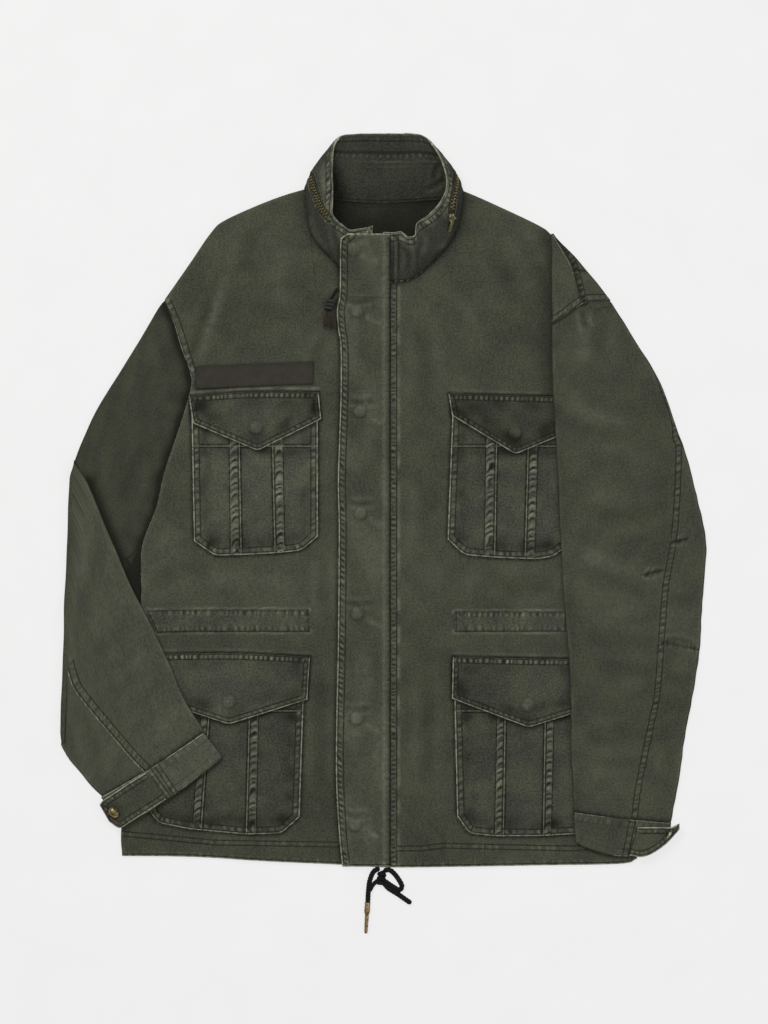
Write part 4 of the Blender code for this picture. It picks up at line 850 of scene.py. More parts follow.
zipCord = {
    "width": 2.8,
    "route": [(-53.2, 244), (-56.2, 239.6), (-59.3, 234.4), (-62.5, 228), (-64, 221), (-64.3, 212)],
    "knot": (-62.3, 226.0),
    "tassel": ((-62.8, 217), (-61.6, 197)),
}


def braidedTube(name, path, width, finish, node, braid=3.4, step=0.55, around=20):
    # a round cord whose strands cross over and under each other, closed at both ends
    path = curveThrough(path, step)
    way = directions(path)
    aside = unit(np.cross(way, straightUp))
    run = np.arange(len(path)) * step
    angle = circle(around)
    turn = 2 * math.pi * run[:, None] / braid
    radius = width / 2 * (0.93 + 0.09 * np.maximum(np.cos(4 * angle - turn), np.cos(4 * angle + turn)))
    ends = np.clip(np.minimum(run, run[-1] - run) / (width / 2), 0, 1)
    radius *= np.sqrt(1 - (1 - ends) ** 2)[:, None]
    points = ringsAbout(path, aside, np.cross(aside, way), radius, angle)
    return meshPiece(name, points, gridFaces(len(path), around, True), finishes[finish], "cord", [node]), path


def layCord(name, node, path, width, farEnd, withPieces=()):
    piece, line = braidedTube(name, path, width, "cord", node)
    [float(v) * mm for v in line[0]]
    lengthOf(line) * mm
    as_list(withPieces)


def wrappedKnot(name, node, centre, reach, width, pitch, lean, finish="cord", turns=3):
    # a knot seen as close turns of its own cord, leaning a little
    t = np.linspace(0, 1, 40 * turns)
    angle = 2 * math.pi * turns * t
    along = (t - 0.5) * pitch * turns
    path = np.stack([centre[0] + reach[0] * np.cos(angle) + lean * along,
                     centre[1] + along + 0.8 * np.sin(angle + 0.6), centre[2] + reach[1] * np.sin(angle)], axis=1)
    return braidedTube(name, path, width, finish, node)[0]


def metalTip():
    # crimped brass: a bell over the cord, a groove, and a slim barrel with a rounded end
    (x, y), (endX, endY), z, slope = hemCord["tip"]
    length = math.hypot(endX - x, endY - y)
    profile = np.array([(0.0, 2.6), (0.02, 2.9), (0.06, 3.05), (0.10, 2.75), (0.13, 2.7), (0.16, 3.0),
                        (0.30, 2.95), (0.34, 2.75), (0.38, 2.2), (0.42, 2.0), (0.47, 2.05), (0.50, 2.15),
                        (0.53, 2.05), (0.70, 1.95), (0.90, 1.8), (0.955, 1.7), (0.985, 1.35), (1.0, 0.7),
                        (1.0, 0.02)])  # share of its length, radius
    way = unit(np.array([endX - x, endY - y, slope * length]))
    aside = unit(np.cross(way, straightUp))
    start, around = np.array([x, y, z]), 32
    points = ringsAbout(start + way * profile[:, :1] * length, aside[None], np.cross(aside, way)[None],
                        1.12 * profile[:, 1:], circle(around))
    faces = gridFaces(len(profile), around, True).tolist()
    faces += [(len(points), (k + 1) % around, k) for k in range(around)]  # closes the end round the cord
    return meshPiece("hemCordTip", [*points, start + way], faces, finishes["tipBrass"], "brass", ["hem_cord_tip"])


def frayedTassel(level, strands=54):
    # unlaid cotton strands that part towards their ends
    (x, y), (endX, endY) = zipCord["tassel"]
    rng = np.random.default_rng(5)
    rings, around = 11, 5
    t = np.linspace(0, 1, rings)
    angle = circle(around) + 1.1 * np.arange(rings)[:, None] / 3
    points, faces = [], []
    for _ in range(strands):
        spot, high, length, bend = [rng.uniform(*span) for span in ((-1, 1), (0, 1), (0.60, 1.05), (-1.2, 1.2))]
        px = x + (endX - x) * t + spot * (3.4 + 3.6 * ease(t * 1.5)) + bend * t ** 2
        py = y + (endY - y) * t * length + 0.4 * rng.uniform(-1, 1)
        pz = level + 0.8 + high * 3.6 * np.sqrt(np.clip(1.1 - spot ** 2, 0, 1)) * (1 - 0.35 * t)
        line = np.stack([px, py, pz], axis=1)
        way = directions(line)
        aside = np.cross(way, straightUp)
        faces.append(gridFaces(rings, around, True) + rings * around * len(points))
        points.append(ringsAbout(line, aside, np.cross(aside, way), 0.72 * (1 - 0.5 * t[:, None] ** 3), angle))
    return meshPiece("frontZipTassel", np.concatenate(points), np.concatenate(faces), finishes["fray"], "tape",
                     ["front_zip_tassel"])


def topOf(node, x, y, reach):
    # the highest point of a node near a place
    tree = treeOf(node)
    found = [dropOn(tree, x + dx, y + dy)[0] for dx in (-reach, 0, reach) for dy in (-reach, 0, reach)]
    return max(hit.z / mm for hit in found if hit)


def buildCords():
    tip = metalTip()
    knot = wrappedKnot("hemCordKnot", "hem_cord_knot", hemCord["knot"], (3.0, 1.7), 5.2, 5.0, 0.12)
    braidedTube("hemCordKnotStrand", hemCord["strand"], 5.2, "cord", "hem_cord_knot")
    for name, node, route, farEnd, pieces in (
            ("hemCordTipEnd", "hem_cord_tip_end", "tipEnd", "fitting", [tip, knot]),
            ("hemCordLoop", "hem_cord_loop", "loop", "knot", ()),
            ("hemCordBareEnd", "hem_cord_bare_end", "bareEnd", "bare", ())):
        layCord(name, node, [(x, y, hemCord["z"]) for x, y in hemCord[route]], hemCord["width"], farEnd, pieces)
    level = topOf("front_right", *zipCord["knot"], 8.0)
    centre = (*zipCord["knot"], level + 3.4)
    knot = wrappedKnot("frontZipKnot", "front_zip_knot", centre, (4.6, 1.9), 3.5, 3.9, 0.35, "paintedHighlightCord")
    tassel = frayedTassel(level)
    path = [(x, y, level + rise) for (x, y), rise in zip(zipCord["route"], (1.6, 1.6, 2.0, 3.2, 3.0, 2.6))]
    layCord("frontZipCord", "front_zip_cord", path, zipCord["width"], "knot", [knot, tassel])
    print("cords and knots laid")


buildCords()


def rounded(points, radius=6.0):
    # a polyline in plan with its corners rounded off
    points = [np.array(p, float) for p in points]
    made = [points[0]]
    for a, b, c in zip(points, points[1:], points[2:]):
        before = b + (a - b) / np.linalg.norm(a - b) * radius
        after = b + (c - b) / np.linalg.norm(c - b) * radius
        made += [before * (1 - t) ** 2 + b * 2 * t * (1 - t) + after * t ** 2 for t in np.linspace(0, 1, 9)]
    return np.array([*made, points[-1]])


def necklineOf(side):
    # the panel's edge at the neck, a little way in under the collar
    rows = collar["rows"][8::-1] if side == "right" else collar["rows"][16:]
    points = np.array([(row[0], row[1]) for row in rows] + [(centreFront, rows[-1][1] - 1)], float)
    inward = np.array(collar["neck"][:2]) - points[:-1]
    points[:-1] += inward / np.linalg.norm(inward, axis=1)[:, None] * 2.6
    return [tuple(p) for p in points]


def outlineOf(pocket):
    spec = pockets[pocket]
    return [(spec["edges"][0][0], spec["top"]), *spec["bottom"], (spec["edges"][5][0], spec["top"])]


lines = {
    "armhole": [(-253, 230), (-241.5, 203.5), (-232.9, 176.5), (-225.4, 151.8), (-220.8, 142.6)],
    "hem": {"right": [(-301.3, -379.5), (-193.2, -389.8), (-54, -392.1)],
            "left": [(291, -390), (217.3, -396.7), (67.8, -393.3), (41.4, -396.7), (8, -396.7)]},
    "strip": [(6.0, -420), (6.0, 247)],
}


def buildFront(side):
    sign = 1 if side == "right" else -1
    neck, shoulder, hem = curveThrough(necklineOf(side)), curveThrough(shoulders[side]), lines["hem"][side]
    top = np.vstack([curveThrough([*shoulders[side], necklineOf(side)[0]])[:-1], neck])
    bottom = curveThrough(hems[side])
    top[-1, 0] = bottom[-1, 0] = centreFront
    edge = curveThrough(sides[side])
    centre = np.array([bottom[-1], top[-1]])
    wide = 294.0
    if side == "right":
        across = stations(wide, 2.15, ends="first")
    else:
        # close together beside the strip that is stitched along the placket
        fine = wide - np.array([26.0, 24.4, 22.9, 22.0, 21.1, 19.8, 18.4, 17.0, 15.6, 14.6, 13.8, 13.0, 12.0,
                                6.0, 0.0])
        outer = stations(fine[0], 2.15, ends="first") * fine[0]
        across = np.concatenate([outer[:-1], fine]) / wide
    along = stations(lengthOf(edge), 1.7)
    plan = patch(bottom, top, edge, centre, across, along)
    cloth = laid(plan, f"front_{side}", inset=4.0)
    x, y = cloth.x, cloth.y

    # slow unevenness of cloth that lies loose, more of it towards the hem
    cloth.ripple(11 + sign, 150, 0.40)
    cloth.ripple(31 + sign, 60, 0.20)
    cloth.ripple(41 + sign, 21, 0.08, (1.5, 0.6))
    low = ease((-60 - y) / 60)
    cloth.relief += 0.25 * low * wander(51 + sign, 90, x, y)
    cloth.dark += 0.10 * low * np.clip(wander(53 + sign, 70, x, y), 0, 1)

    if side == "right":
        cloth.fold([p for p in edge if p[1] < 148], 1.6, 0.55, seed=3)
        cloth.stitched(lines["armhole"], (1.6, 8.0), (-150, 160), 0.30, seed=5)
        cloth.fold([p for p in edge if p[1] > 140], 1.4, 0.7, seed=6)
        cloth.crease([(-172, 272), (-185.1, 247.2), (-193.2, 221.9), (-204.7, 186.3), (-215, 150)], 7.0, 1.4,
                     worn=0.14, seed=7)
        cloth.crease([(-180, 270), (-194, 244), (-203, 218), (-214, 184), (-221, 156)], 6.0, -1.2, dark=0.35,
                     worn=0.0, seed=8)
        cloth.worn += 0.05 * bell(y + 94, 40)
    else:
        cloth.fold(edge, 1.6, 0.5, seed=4)
        strip = lines["strip"]
        cloth.stitched(strip, (1.2, 8.6), (60, 0), 0.30, 7.0, 0.7, 9, spill=0.2, shade=0.6)
        cloth.ladder(strip, 4.9, 2.2, 5.3, 0.25, 1.05, (60, 0), seed=10)
        cloth.worn += 0.30 * bell(x - 16.6, 2.0) * (y < 247) * patches(19, 26, y, mean=0.6, swing=0.7)
        cloth.shadowAndDyeBeside(strip, 1.1, 0.6)
        # painted shadow of the left sleeve, which lies along this edge
        cloth.shadowAndDyeBeside([(193, 305), (192, 100), (200, 10)], 16, 0.45)
        cloth.shadowAndDyeBeside([(14.9, -272.5), (6, -272.5)], 1.6, 0.7)
        cloth.crease([(163, 312), (172, 300), (180, 285), (181, 266)], 7.0, 1.0, worn=0.12, seed=12)
    cloth.fold(bottom, 1.6, 1.0, seed=13)
    cloth.stitched(hem, (0.0, 5.4), (sign * -150, -415), 0.14, 9.5, seed=14, spill=0.5, shade=0.4)
    cloth.stitched(bottom, (2.4,), (sign * -150, -390), 0.14, 9.0, seed=15, shade=0.5)
    cloth.fold(shoulder, 1.5, 0.4, seed=16)
    # painted shade under the collar's edge
    cloth.shadowAndDyeBeside(neck, 6.0, 0.55)
    if side == "right":
        # painted shadow beside the placket's edge, which lies over this front
        cloth.shadowAndDyeBeside(placketEdge, 3.4, 0.85, side=(-100, 0))
    for level in ("chest", "lower"):
        name = f"{side}_{level}"
        spec, outline = pockets[name], rounded(outlineOf(name), 5)
        beyond = -towards(outline, spec["snap"])
        # painted shadow outside the pocket's outline and beside the flap's ends, and the dye the seam keeps
        cloth.shadowAndDyeBeside(outline, 2.8, 1.0, side=beyond)
        for end in (0, -1):
            cloth.shadowAndDyeBeside([spec["flapTop"][end], spec["flapBottom"][end]], 2.6, 0.8)
        # the sewn-on pocket draws the cloth round it into short puckers
        cloth.stitched(outline, (0.0,), beyond, 0.16, 9.0, seed=20, raised=0.0, spill=0.5, shade=0.25, shown=False)
        # the seam over the flap, turned up into a ridge where the tape draws on it
        strong = 0.75 if name == "right_chest" else 0.25
        above = offsetPath(curveThrough(spec["flapTop"]), 3.8)
        gap = nearest(above, x, y)[0]
        cloth.relief += 0.7 * strong * bell(gap, 1.6)
        cloth.worn += 0.60 * strong * bell(gap, 1.5) * patches(22, 30, x, mean=0.75, swing=0.4, low=0.2, high=1.1)
        # painted shade in the fold between the ridge and the flap
        cloth.shadowAndDyeBeside(offsetPath(above, -2.9), 1.2, 1.0)
    for path in waistStrips[side]:
        gap = nearest(curveThrough(path, 4), x, y)[0]
        cloth.worn += 0.36 * bell(gap - 1.7, 1.1) * patches(18, 40, x, low=0.2)
    if side == "right":
        # painted shadow round the name tape and under the zip's tassel
        cloth.shadowAndDyeBeside([*nameTape[0], *nameTape[1][::-1], nameTape[0][0]], 2.0, 0.6)
        cloth.shadowAndDyeBeside(zipCord["tassel"], 5.0, 0.3)
    cloth.creases(frontCreases[side], 100, 1.3, 0.8, 0.22, 0.08)
    cloth.build(f"front{side.capitalize()}", [f"front_{side}"], (312, 790), ["back"], rim=2.0)


frontCreases = {
    # path, width, depth (a trough below zero), all in millimetres; the shape of each is its own
    "right": [
        ([(-60, 196), (-78, 170), (-74, 138)], 5.0, -0.5),
        ([(-196, -8), (-232, -30), (-270, -66)], 9.0, 0.8),
        ([(-210, -74), (-243, -82), (-272, -104)], 7.0, -0.6),
        ([(-96, -86), (-150, -92), (-214, -84)], 8.0, 0.5),
        ([(-68, -60), (-70, -100), (-66, -150)], 5.0, -0.5),
        ([(-278, -180), (-281, -240), (-286, -300)], 6.0, 0.6),
        ([(-72, -180), (-74, -260), (-72, -352)], 6.0, -0.45),
        ([(-110, 300), (-120, 262), (-118, 220)], 9.0, 0.5),
        ([(-150, 318), (-158, 290), (-156, 262)], 7.0, -0.5),
    ],
    "left": [
        ([(40, 210), (48, 160), (44, 110)], 7.0, -0.5),
        ([(62, 250), (92, 222), (110, 190)], 8.0, 0.7),
        ([(120, 300), (140, 262), (152, 220)], 9.0, -0.6),
        ([(30, -70), (60, -88), (120, -96)], 8.0, 0.6),
        ([(110, -84), (160, -100), (200, -92)], 8.0, -0.5),
        ([(46, -180), (50, -250), (46, -340)], 6.0, -0.5),
        ([(67.8, -378), (68, -396), (67.4, -412)], 3.0, -0.7),
        ([(28, 40), (34, -10), (30, -60)], 6.0, 0.5),
        ([(236, 200), (230, 170), (226, 140)], 6.0, -0.6),
    ],
}


for side in ("right", "left"):
    buildFront(side)


def buildInsideBack():
    # the back's inside below the collar, run on under the collar's seam
    across, along = np.linspace(-88, 88, 60), np.linspace(252, 348, 40)
    x, y = np.meshgrid(across, along)
    cloth = Cloth(np.stack([x, y, 1.75 + 0 * x], axis=2))
    cloth.ripple(61, 60, 0.12)
    # painted shade, deeper away from the collar's back towards the front of the neck, and under the collar's back
    # seam
    cloth.dark += 0.55 * ease((338 - y) / 40)
    cloth.shadowAndDyeBeside([(-88, 345), (88, 345)], 7.0, 0.5)
    cloth.build("insideBack", (), (178, 98), ["back"], "lining", rim=0)


buildInsideBack()
# the back's inside gets the twill painted dark for the shade in the neck
nodes["back"].data.materials.clear()
nodes["back"].data.materials.append(finishes["inside"])
print("fronts laid")


def buildPlacket():
    edge = curveThrough(placketEdge, 2.0)
    seam = np.stack([np.full(len(edge), placketSeam + 0.6), edge[:, 1]], axis=1)
    wide = 58.0
    across = stations(wide, 1.7)
    along = stations(lengthOf(edge), 1.45)
    plan = patch(np.array([edge[0], seam[0]]), np.array([edge[-1], seam[-1]]), edge, seam, across, along)
    cloth = laid(plan, "placket", step=2.5, blur=5.0, inset=2.5)
    cloth.ripple(71, 70, 0.25)
    cloth.ripple(72, 22, 0.16, (0.7, 1.3))
    cloth.fold(edge, 1.8, 1.0, soft=2.4, seed=73)
    cloth.stitched(edge, (2.2, 8.6), (-20, 0), 0.28, 6.4, 0.5, 74, spill=0.2, shade=0.4)
    cloth.ladder(edge, 4.4, 2.2, 6.7, 0.32, 1.3, (-20, 0), 0.7, 70)
    strip = [(placketSeam, -420), (placketSeam, 300)]
    cloth.shadowAndDyeBeside(strip, 1.0, 0.7)
    cloth.stitched(strip, (0.0,), (-20, 0), 0.14, 6.4, seed=75, raised=0.0, spill=0.5, shade=0.25,
                   shown=False)
    cloth.worn += 0.16 * bell(cloth.x - placketSeam + 6, 2.2) + 0.05 * ease((-100 - cloth.y) / 160)
    foot = [(-48, -420), (6, -420)]
    cloth.fold(foot, 1.6, 1.0, seed=76)
    cloth.stitched(foot, (2.4,), 1, 0.16, seed=77, shade=0.6)
    head = np.array([edge[-1], seam[-1]])
    cloth.fold(head, 1.8, 1.0, soft=4.0, seed=78)
    cloth.worn += 0.08 * np.clip(wander(79, 44, cloth.x, cloth.y) + 0.2, 0, 1)
    cloth.shadowAndDyeBeside([(-50, 234.6), (6, 233)], 1.0, 0.5)
    for number, (x, y) in enumerate([*placketSnaps, (-35, 288)]):
        faint = number == len(placketSnaps)  # the snap under the collar
        cloth.dome((x, y), 7.2, 0.9 if faint else 1.9, 0.3 if faint else 0.45, 0.12)
        cloth.crease([(x - 16, y + 14), (x - 2, y + 11), (x + 20, y + 13)], 3.2, -0.35, seed=80 + number)
        cloth.crease([(x + 8, y - 4), (x + 20, y - 12), (x + 30, y - 14)], 3.0, 0.35, seed=90 + number)
    cloth.build("placketCloth", ["placket", *[f"placket_snap_{n}" for n in range(1, 7)]], (62, 735),
                ["frontRight", "frontLeft"], rim=2.0)


def rope(cloth, aside, half, inner, seed):
    # a stitched pleat: uneven puckers over its outer part, and its folded edge between two rows beside them
    run = cloth.y
    rim, step = half - 1.6, (half + 1.6) * inner
    body = np.clip(1 - ((aside + inner * 0.8) / (half - 0.6)) ** 2, 0, 1)
    place = run - 0.42 * aside + 0.10 * aside ** 2 + 3.0 * wander(seed, 21, run)
    wave = 0.72 * np.cos(place * 0.74) + 0.42 * np.cos(place * 1.21 + seed) + 0.28 * np.cos(place * 1.9 + 2 * seed)
    strength = patches(seed + 3, 36, run, mean=0.95, swing=0.3, low=0.5, high=1.4)
    cloth.relief += body ** 0.6 * (1.0 + 0.50 * strength * wave)
    pit = bell(aside + 0.3 * inner, 0.5 * half)
    cloth.worn += 0.52 * body ** 0.5 * strength * np.clip(wave + 0.35, 0, 1)
    cloth.dark += (0.35 * body + 1.65 * pit) * strength * np.clip(-wave - 0.25, 0, 1)
    cloth.relief += 0.5 * bell(aside - half * inner, 1.1)
    cloth.rub(np.abs(aside - half * inner) + 0.95)
    cloth.rub(np.abs(aside + (half - 0.8) * inner) + 1.15)
    for low, high in ((-half * inner - 0.2 * inner, rim * inner), (step - 0.2, step + 0.2)):
        low, high = np.minimum(low, high), np.maximum(low, high)
        cloth.row = np.minimum(cloth.row, np.abs(aside - (low + high) / 2) - (high - low) / 2)
    for side in (-1, 1):
        away = aside * side - half
        outside = np.where((away > 0) & (away < 16), np.exp(-away / 5.0), 0)
        cloth.relief += 0.14 * strength * wave * outside
        cloth.dark += 0.30 * outside * patches(seed + 5, 24, run, swing=1.0)


def buildBag(name, number):
    spec = pockets[name]
    marks = np.array(spec["edges"], float)
    bottom = rounded(spec["bottom"], 7)
    top, mouth = spec["top"], spec["mouth"]
    # columns follow the pleats, and a row of points lies on the hem of the mouth
    close = (0.0, 0.7, 1.5, 2.3, 3.2, 4.2, 5.4, 6.6, 7.9)
    parts = [k + stations(marks[k + 1, 0] - marks[k, 0], 1.0 if k % 2 else 1.9, close)[:-1] for k in range(5)]
    t = np.concatenate([*parts, [5.0]])
    topX, lowX = [np.interp(t, range(6), marks[:, n]) for n in (0, 1)]
    lowY = np.interp(lowX, bottom[:, 0], bottom[:, 1])
    fine = (0.0, 0.6, 1.2, 1.8, 2.6, 3.6, 4.8, 6.0, 7.2, 8.6)
    y = np.vstack([*[lowY + (mouth - lowY) * v for v in stations(mouth - lowY.mean(), 1.6, fine)[:-1]],
                   *[mouth + (top - mouth) * v + 0 * lowY for v in stations(top - mouth, 2.2, fine)]])
    share = (y - lowY) / (top - lowY)
    plan = np.stack([lowX + (topX - lowX) * share, y], axis=2)
    cloth = laid(plan, f"{name}_bag", step=3.0, blur=7.0, inset=3.0)
    cloth.ripple(200 + number, 46, 0.26)
    cloth.ripple(210 + number, 19, 0.14, (1.0, 0.5))
    outline = np.vstack([[(marks[0, 0], top)], bottom, [(marks[5, 0], top)]])
    hand = towards(outline, spec["snap"])
    cloth.fold(outline, 1.4, 1.0, soft=2.0, seed=220 + number)
    cloth.stitched(outline, (2.2, 8.0), hand, 0.32, 9.2, seed=230 + number, spill=0.25, shade=0.8)
    cloth.ladder(outline, 5.1, 2.5, 7.6, 0.28, 0.50, hand, 0.3, 235 + number, steady=0.1)
    for k, inner in ((1, 1), (3, -1)):
        edges = [marks[n, 1] + (marks[n, 0] - marks[n, 1]) * share for n in (k, k + 1)]
        rope(cloth, cloth.x - (edges[0] + edges[1]) / 2, (edges[1] - edges[0]) / 2, inner, 240 + 10 * number + k)
    away = np.abs(cloth.y - mouth)
    hemmed = away < 9
    cloth.rub(np.where(hemmed, away + 1.0, clear))
    cloth.row = np.minimum(cloth.row, np.where(hemmed, away - 1.9, clear))
    cloth.relief += 0.5 * ease((cloth.y - mouth + 0.5) / 1.5)
    # painted shade in patches in from the stitched outline and under the mouth, darker patches near the bottom,
    # and the flap's painted shadow below its edge
    cloth.shadowAndDyeBeside(offsetPath(outline, 13 * hand), 7, 0.40, seed=251 + number)
    cloth.shadowAndDyeBeside([(marks[0, 1] + 8, mouth - 7), (marks[5, 1] - 8, mouth - 7)], 6, 0.50, seed=255 + number)
    level = lowY.min() + 16
    cloth.shadowAndDyeBeside([(lowX[0] + 22, level), (lowX[-1] - 22, level)], 10, 0.34, seed=259 + number)
    cloth.shadowAndDyeBeside(rounded(spec["flapBottom"], 6), 4.0, 0.8)
    cloth.tone(spec["tones"][0])
    size = (marks[5, 0] - marks[0, 0] + 6, top - min(p[1] for p in spec["bottom"]) + 4)
    front = f"front{name.split('_')[0].capitalize()}"
    cloth.build(camel(name, "Bag"), [f"{name}_bag"], size, [front], "pocket", "pocket_twill", 1.5)


def camel(name, end):
    first, *rest = name.split("_")
    return first + "".join(part.capitalize() for part in rest) + end


def buildFlap(name, number):
    spec = pockets[name]
    top = curveThrough(spec["flapTop"], 2)
    bottom = rounded(spec["flapBottom"], 5)
    wide = lengthOf(top)
    across = stations(wide, 1.55)
    along = stations(52.0, 1.4, near=(0.0, 0.35, 0.9, 1.7, 2.7, 3.8, 5.0, 6.0, 7.0))
    plan = columnsBetween(bottom, top, across, along)
    cloth = laid(plan, f"{name}_flap", step=2.5, blur=6.0, inset=2.5)
    cloth.ripple(300 + number, 40, 0.30)
    cloth.ripple(310 + number, 17, 0.16)
    outline = np.vstack([[top[0]], bottom, [top[-1]]])
    hand = towards(outline, spec["snap"])
    cloth.fold(outline, 1.8, 1.0, soft=2.0, seed=320 + number)
    cloth.fold(top, 1.4, 0.35, seed=325 + number)
    cloth.stitched(top, (1.1, 6.6), spec["snap"], 0.34, 6.8, seed=330 + number, spill=0.15, shade=0.5)
    cloth.ladder(top, 3.9, 2.6, 5.8, 0.60, 0.85, spec["snap"], 0.0, 335 + number)
    cloth.stitched(outline, (2.1, 6.6), hand, 0.28, 7.2, seed=340 + number, spill=0.2, shade=0.6)
    cloth.ladder(outline, 4.3, 2.2, 6.6, 0.24, 0.50, hand, 0.4, 342 + number, steady=0.15)
    # painted shade in patches in from the outline and below the top seam
    cloth.shadowAndDyeBeside(offsetPath(outline, 12 * hand), 9, 0.50, seed=345 + number)
    cloth.shadowAndDyeBeside(offsetPath(top, -12), 9, 0.26, seed=347 + number)
    cloth.tone(spec["tones"][1])
    cloth.dome(spec["snap"], 7.4, 1.5, 0.40, 0.10)
    for corner in (spec["flapTop"][0], spec["flapTop"][-1]):
        gap = np.hypot(cloth.x - corner[0], cloth.y - corner[1])
        cloth.dark += 0.22 * bell(gap, 50)
    cloth.build(camel(name, "Flap"), [f"{name}_flap", f"{name}_snap"], (wide + 4, 74), [camel(name, "Bag")],
                "pocket", "pocket_twill", 2.2)


def buildStrip(name, upper, lower, finish, slot, node, seed, puckered=True):
    top, bottom = curveThrough(upper, 2), curveThrough(lower, 2)
    wide = lengthOf(top)
    height = float(np.mean(top[:, 1]) - np.mean(bottom[:, 1]))
    plan = columnsBetween(bottom, top, stations(wide, 1.6), stations(height, 1.4))
    cloth = laid(plan, node, step=2.5, blur=6.0, inset=2.5)
    cloth.ripple(seed, 24, 0.14)
    for path, inner in ((top, -1), (bottom, 1)):
        hand = towards(path, (path[len(path) // 2][0], path[len(path) // 2][1] + inner * 8))
        cloth.fold(path, 1.3, 0.05, seed=seed + 1)
        cloth.shadowAndDyeBeside(path, 0.9, 0.8 if puckered else 0.3)
        if puckered:
            cloth.stitched(path, (1.9,), hand, 0.30, 9.0, seed=seed + 2 + inner, raised=0.1, spill=0.7, shade=0.5,
                           notch=1.6, shown="thread")
            cloth.ladder(path, 3.4, 2.4, 6.3, 0.27 if inner < 0 else 0.16, 0.48, hand, seed=seed + 6 + inner)
        else:
            cloth.stitched(path, (2.2,), hand, 0.10, seed=seed + 2, raised=0.0, shade=0.3)
    for k in (0, -1):
        path = [bottom[k], top[k]]
        hand = towards(path, (float(np.mean(top[:, 0])), float(np.mean(top[:, 1])) - height / 2))
        cloth.fold(path, 1.3, 0.3 if puckered else 0.05, seed=seed + 3)
        cloth.stitched(path, (1.9,), hand, 0.14, seed=seed + 4, raised=0.0, shade=0.3)
    front = "frontRight" if "right" in name or "name" in name else "frontLeft"
    cloth.build(name, [node], (wide + 2, height + 2), [front], finish, slot, 1.5)


buildPlacket()
for number, pocket in enumerate(pockets):
    buildBag(pocket, number)
    buildFlap(pocket, number)
for side in ("right", "left"):
    seed = 400 if side == "right" else 420
    buildStrip(f"{side}WaistStrip", *waistStrips[side], "pocket", "pocket_twill", f"{side}_waist_strip", seed)
buildStrip("nameTape", *nameTape, "tape", "tape", "name_tape", 440, puckered=False)
print("placket, pockets and strips sewn on")


def tubeShape(table, step, edge, full, tree, fromBelow=False, roll=2.6, wide=None):
    # the plan of a flattened tube, its shares across, and the heights of its lower and upper faces
    rows = curveThrough(table, step)
    a, b, bend = rows[:, 0:2], rows[:, 2:4], rows[:, 4]
    width = np.linalg.norm(b - a, axis=1)
    wide = wide or float(np.mean(width))
    base = stations(wide, 2.3, near=(0.0, 0.25, 0.7, 1.4, 2.6, 4.0, 5.6, 7.2, 8.8))
    near = base * wide
    atStart = near < wide / 2
    gapTo = np.where(atStart, near, wide - near)
    fixed = gapTo < 9.0
    s = np.empty((len(rows), len(base)))
    for j, w in enumerate(width):
        snug = min(1.0, w / 24) * gapTo / w
        s[j] = np.where(atStart, snug, 1 - snug)
        first, last = s[j][fixed & atStart][-1], s[j][fixed & ~atStart][0]
        count = int((~fixed).sum())
        s[j][~fixed] = first + (last - first) * np.arange(1, count + 1) / (count + 1)
    way = unit(b - a)
    aside = np.stack([way[:, 1], -way[:, 0]], axis=1)
    plan = (a[:, None] + (b - a)[:, None] * s[..., None]
            + (aside * bend[:, None])[:, None] * (4 * s * (1 - s))[..., None])
    gap = np.minimum(s, 1 - s) * width[:, None]
    height = edge + (full - edge) * np.sin(math.pi * s)
    z = np.full(s.shape, np.nan)
    for j in range(z.shape[0]):
        for i in range(z.shape[1]):
            if gap[j, i] > 3.4:
                hit = dropOn(tree, *plan[j, i], fromBelow)[0]
                if hit:
                    z[j, i] = hit.z / mm
    for line in z:
        known = ~np.isnan(line)
        if known.any():
            line[~known] = np.interp(np.flatnonzero(~known), np.flatnonzero(known), line[known])
    for column in z.T:
        known = ~np.isnan(column)
        column[~known] = np.interp(np.flatnonzero(~known), np.flatnonzero(known), column[known])
    for _ in range(18):
        padded = np.pad(z, 1, mode="edge")
        z = 0.5 * z + 0.125 * (padded[:-2, 1:-1] + padded[2:, 1:-1] + padded[1:-1, :-2] + padded[1:-1, 2:])
    middle = z + height / 2 if fromBelow else z - height / 2
    share = np.sqrt(np.clip(1 - ((roll - np.minimum(gap, roll)) / roll) ** 2, 0, 1))
    low = np.concatenate([plan, (middle - height / 2 * share)[..., None]], axis=2)
    high = np.concatenate([plan, (middle + height / 2 * share)[..., None]], axis=2)
    return low, high, s, width


def ringOf(low, high):
    # one ring from edge b along the lower face to edge a and back along the upper face
    return np.concatenate([low[:, ::-1], high[:, 1:]], axis=1)


def grainOf(low, high, s, width, start=0.0):
    middle = (low + high)[:, low.shape[1] // 2] / 2
    along = start + runOf(middle)
    across = s * width[:, None]
    ring = np.concatenate([-across[:, ::-1], across[:, 1:]], axis=1)
    return np.stack([ring, -np.repeat(along[:, None], ring.shape[1], axis=1)], axis=2), along[-1]


def onTop(cloth, count):
    # limits what follows to the face that is seen from above
    cloth.where = np.zeros(cloth.shape, bool)
    cloth.where[:, count - 1:] = True


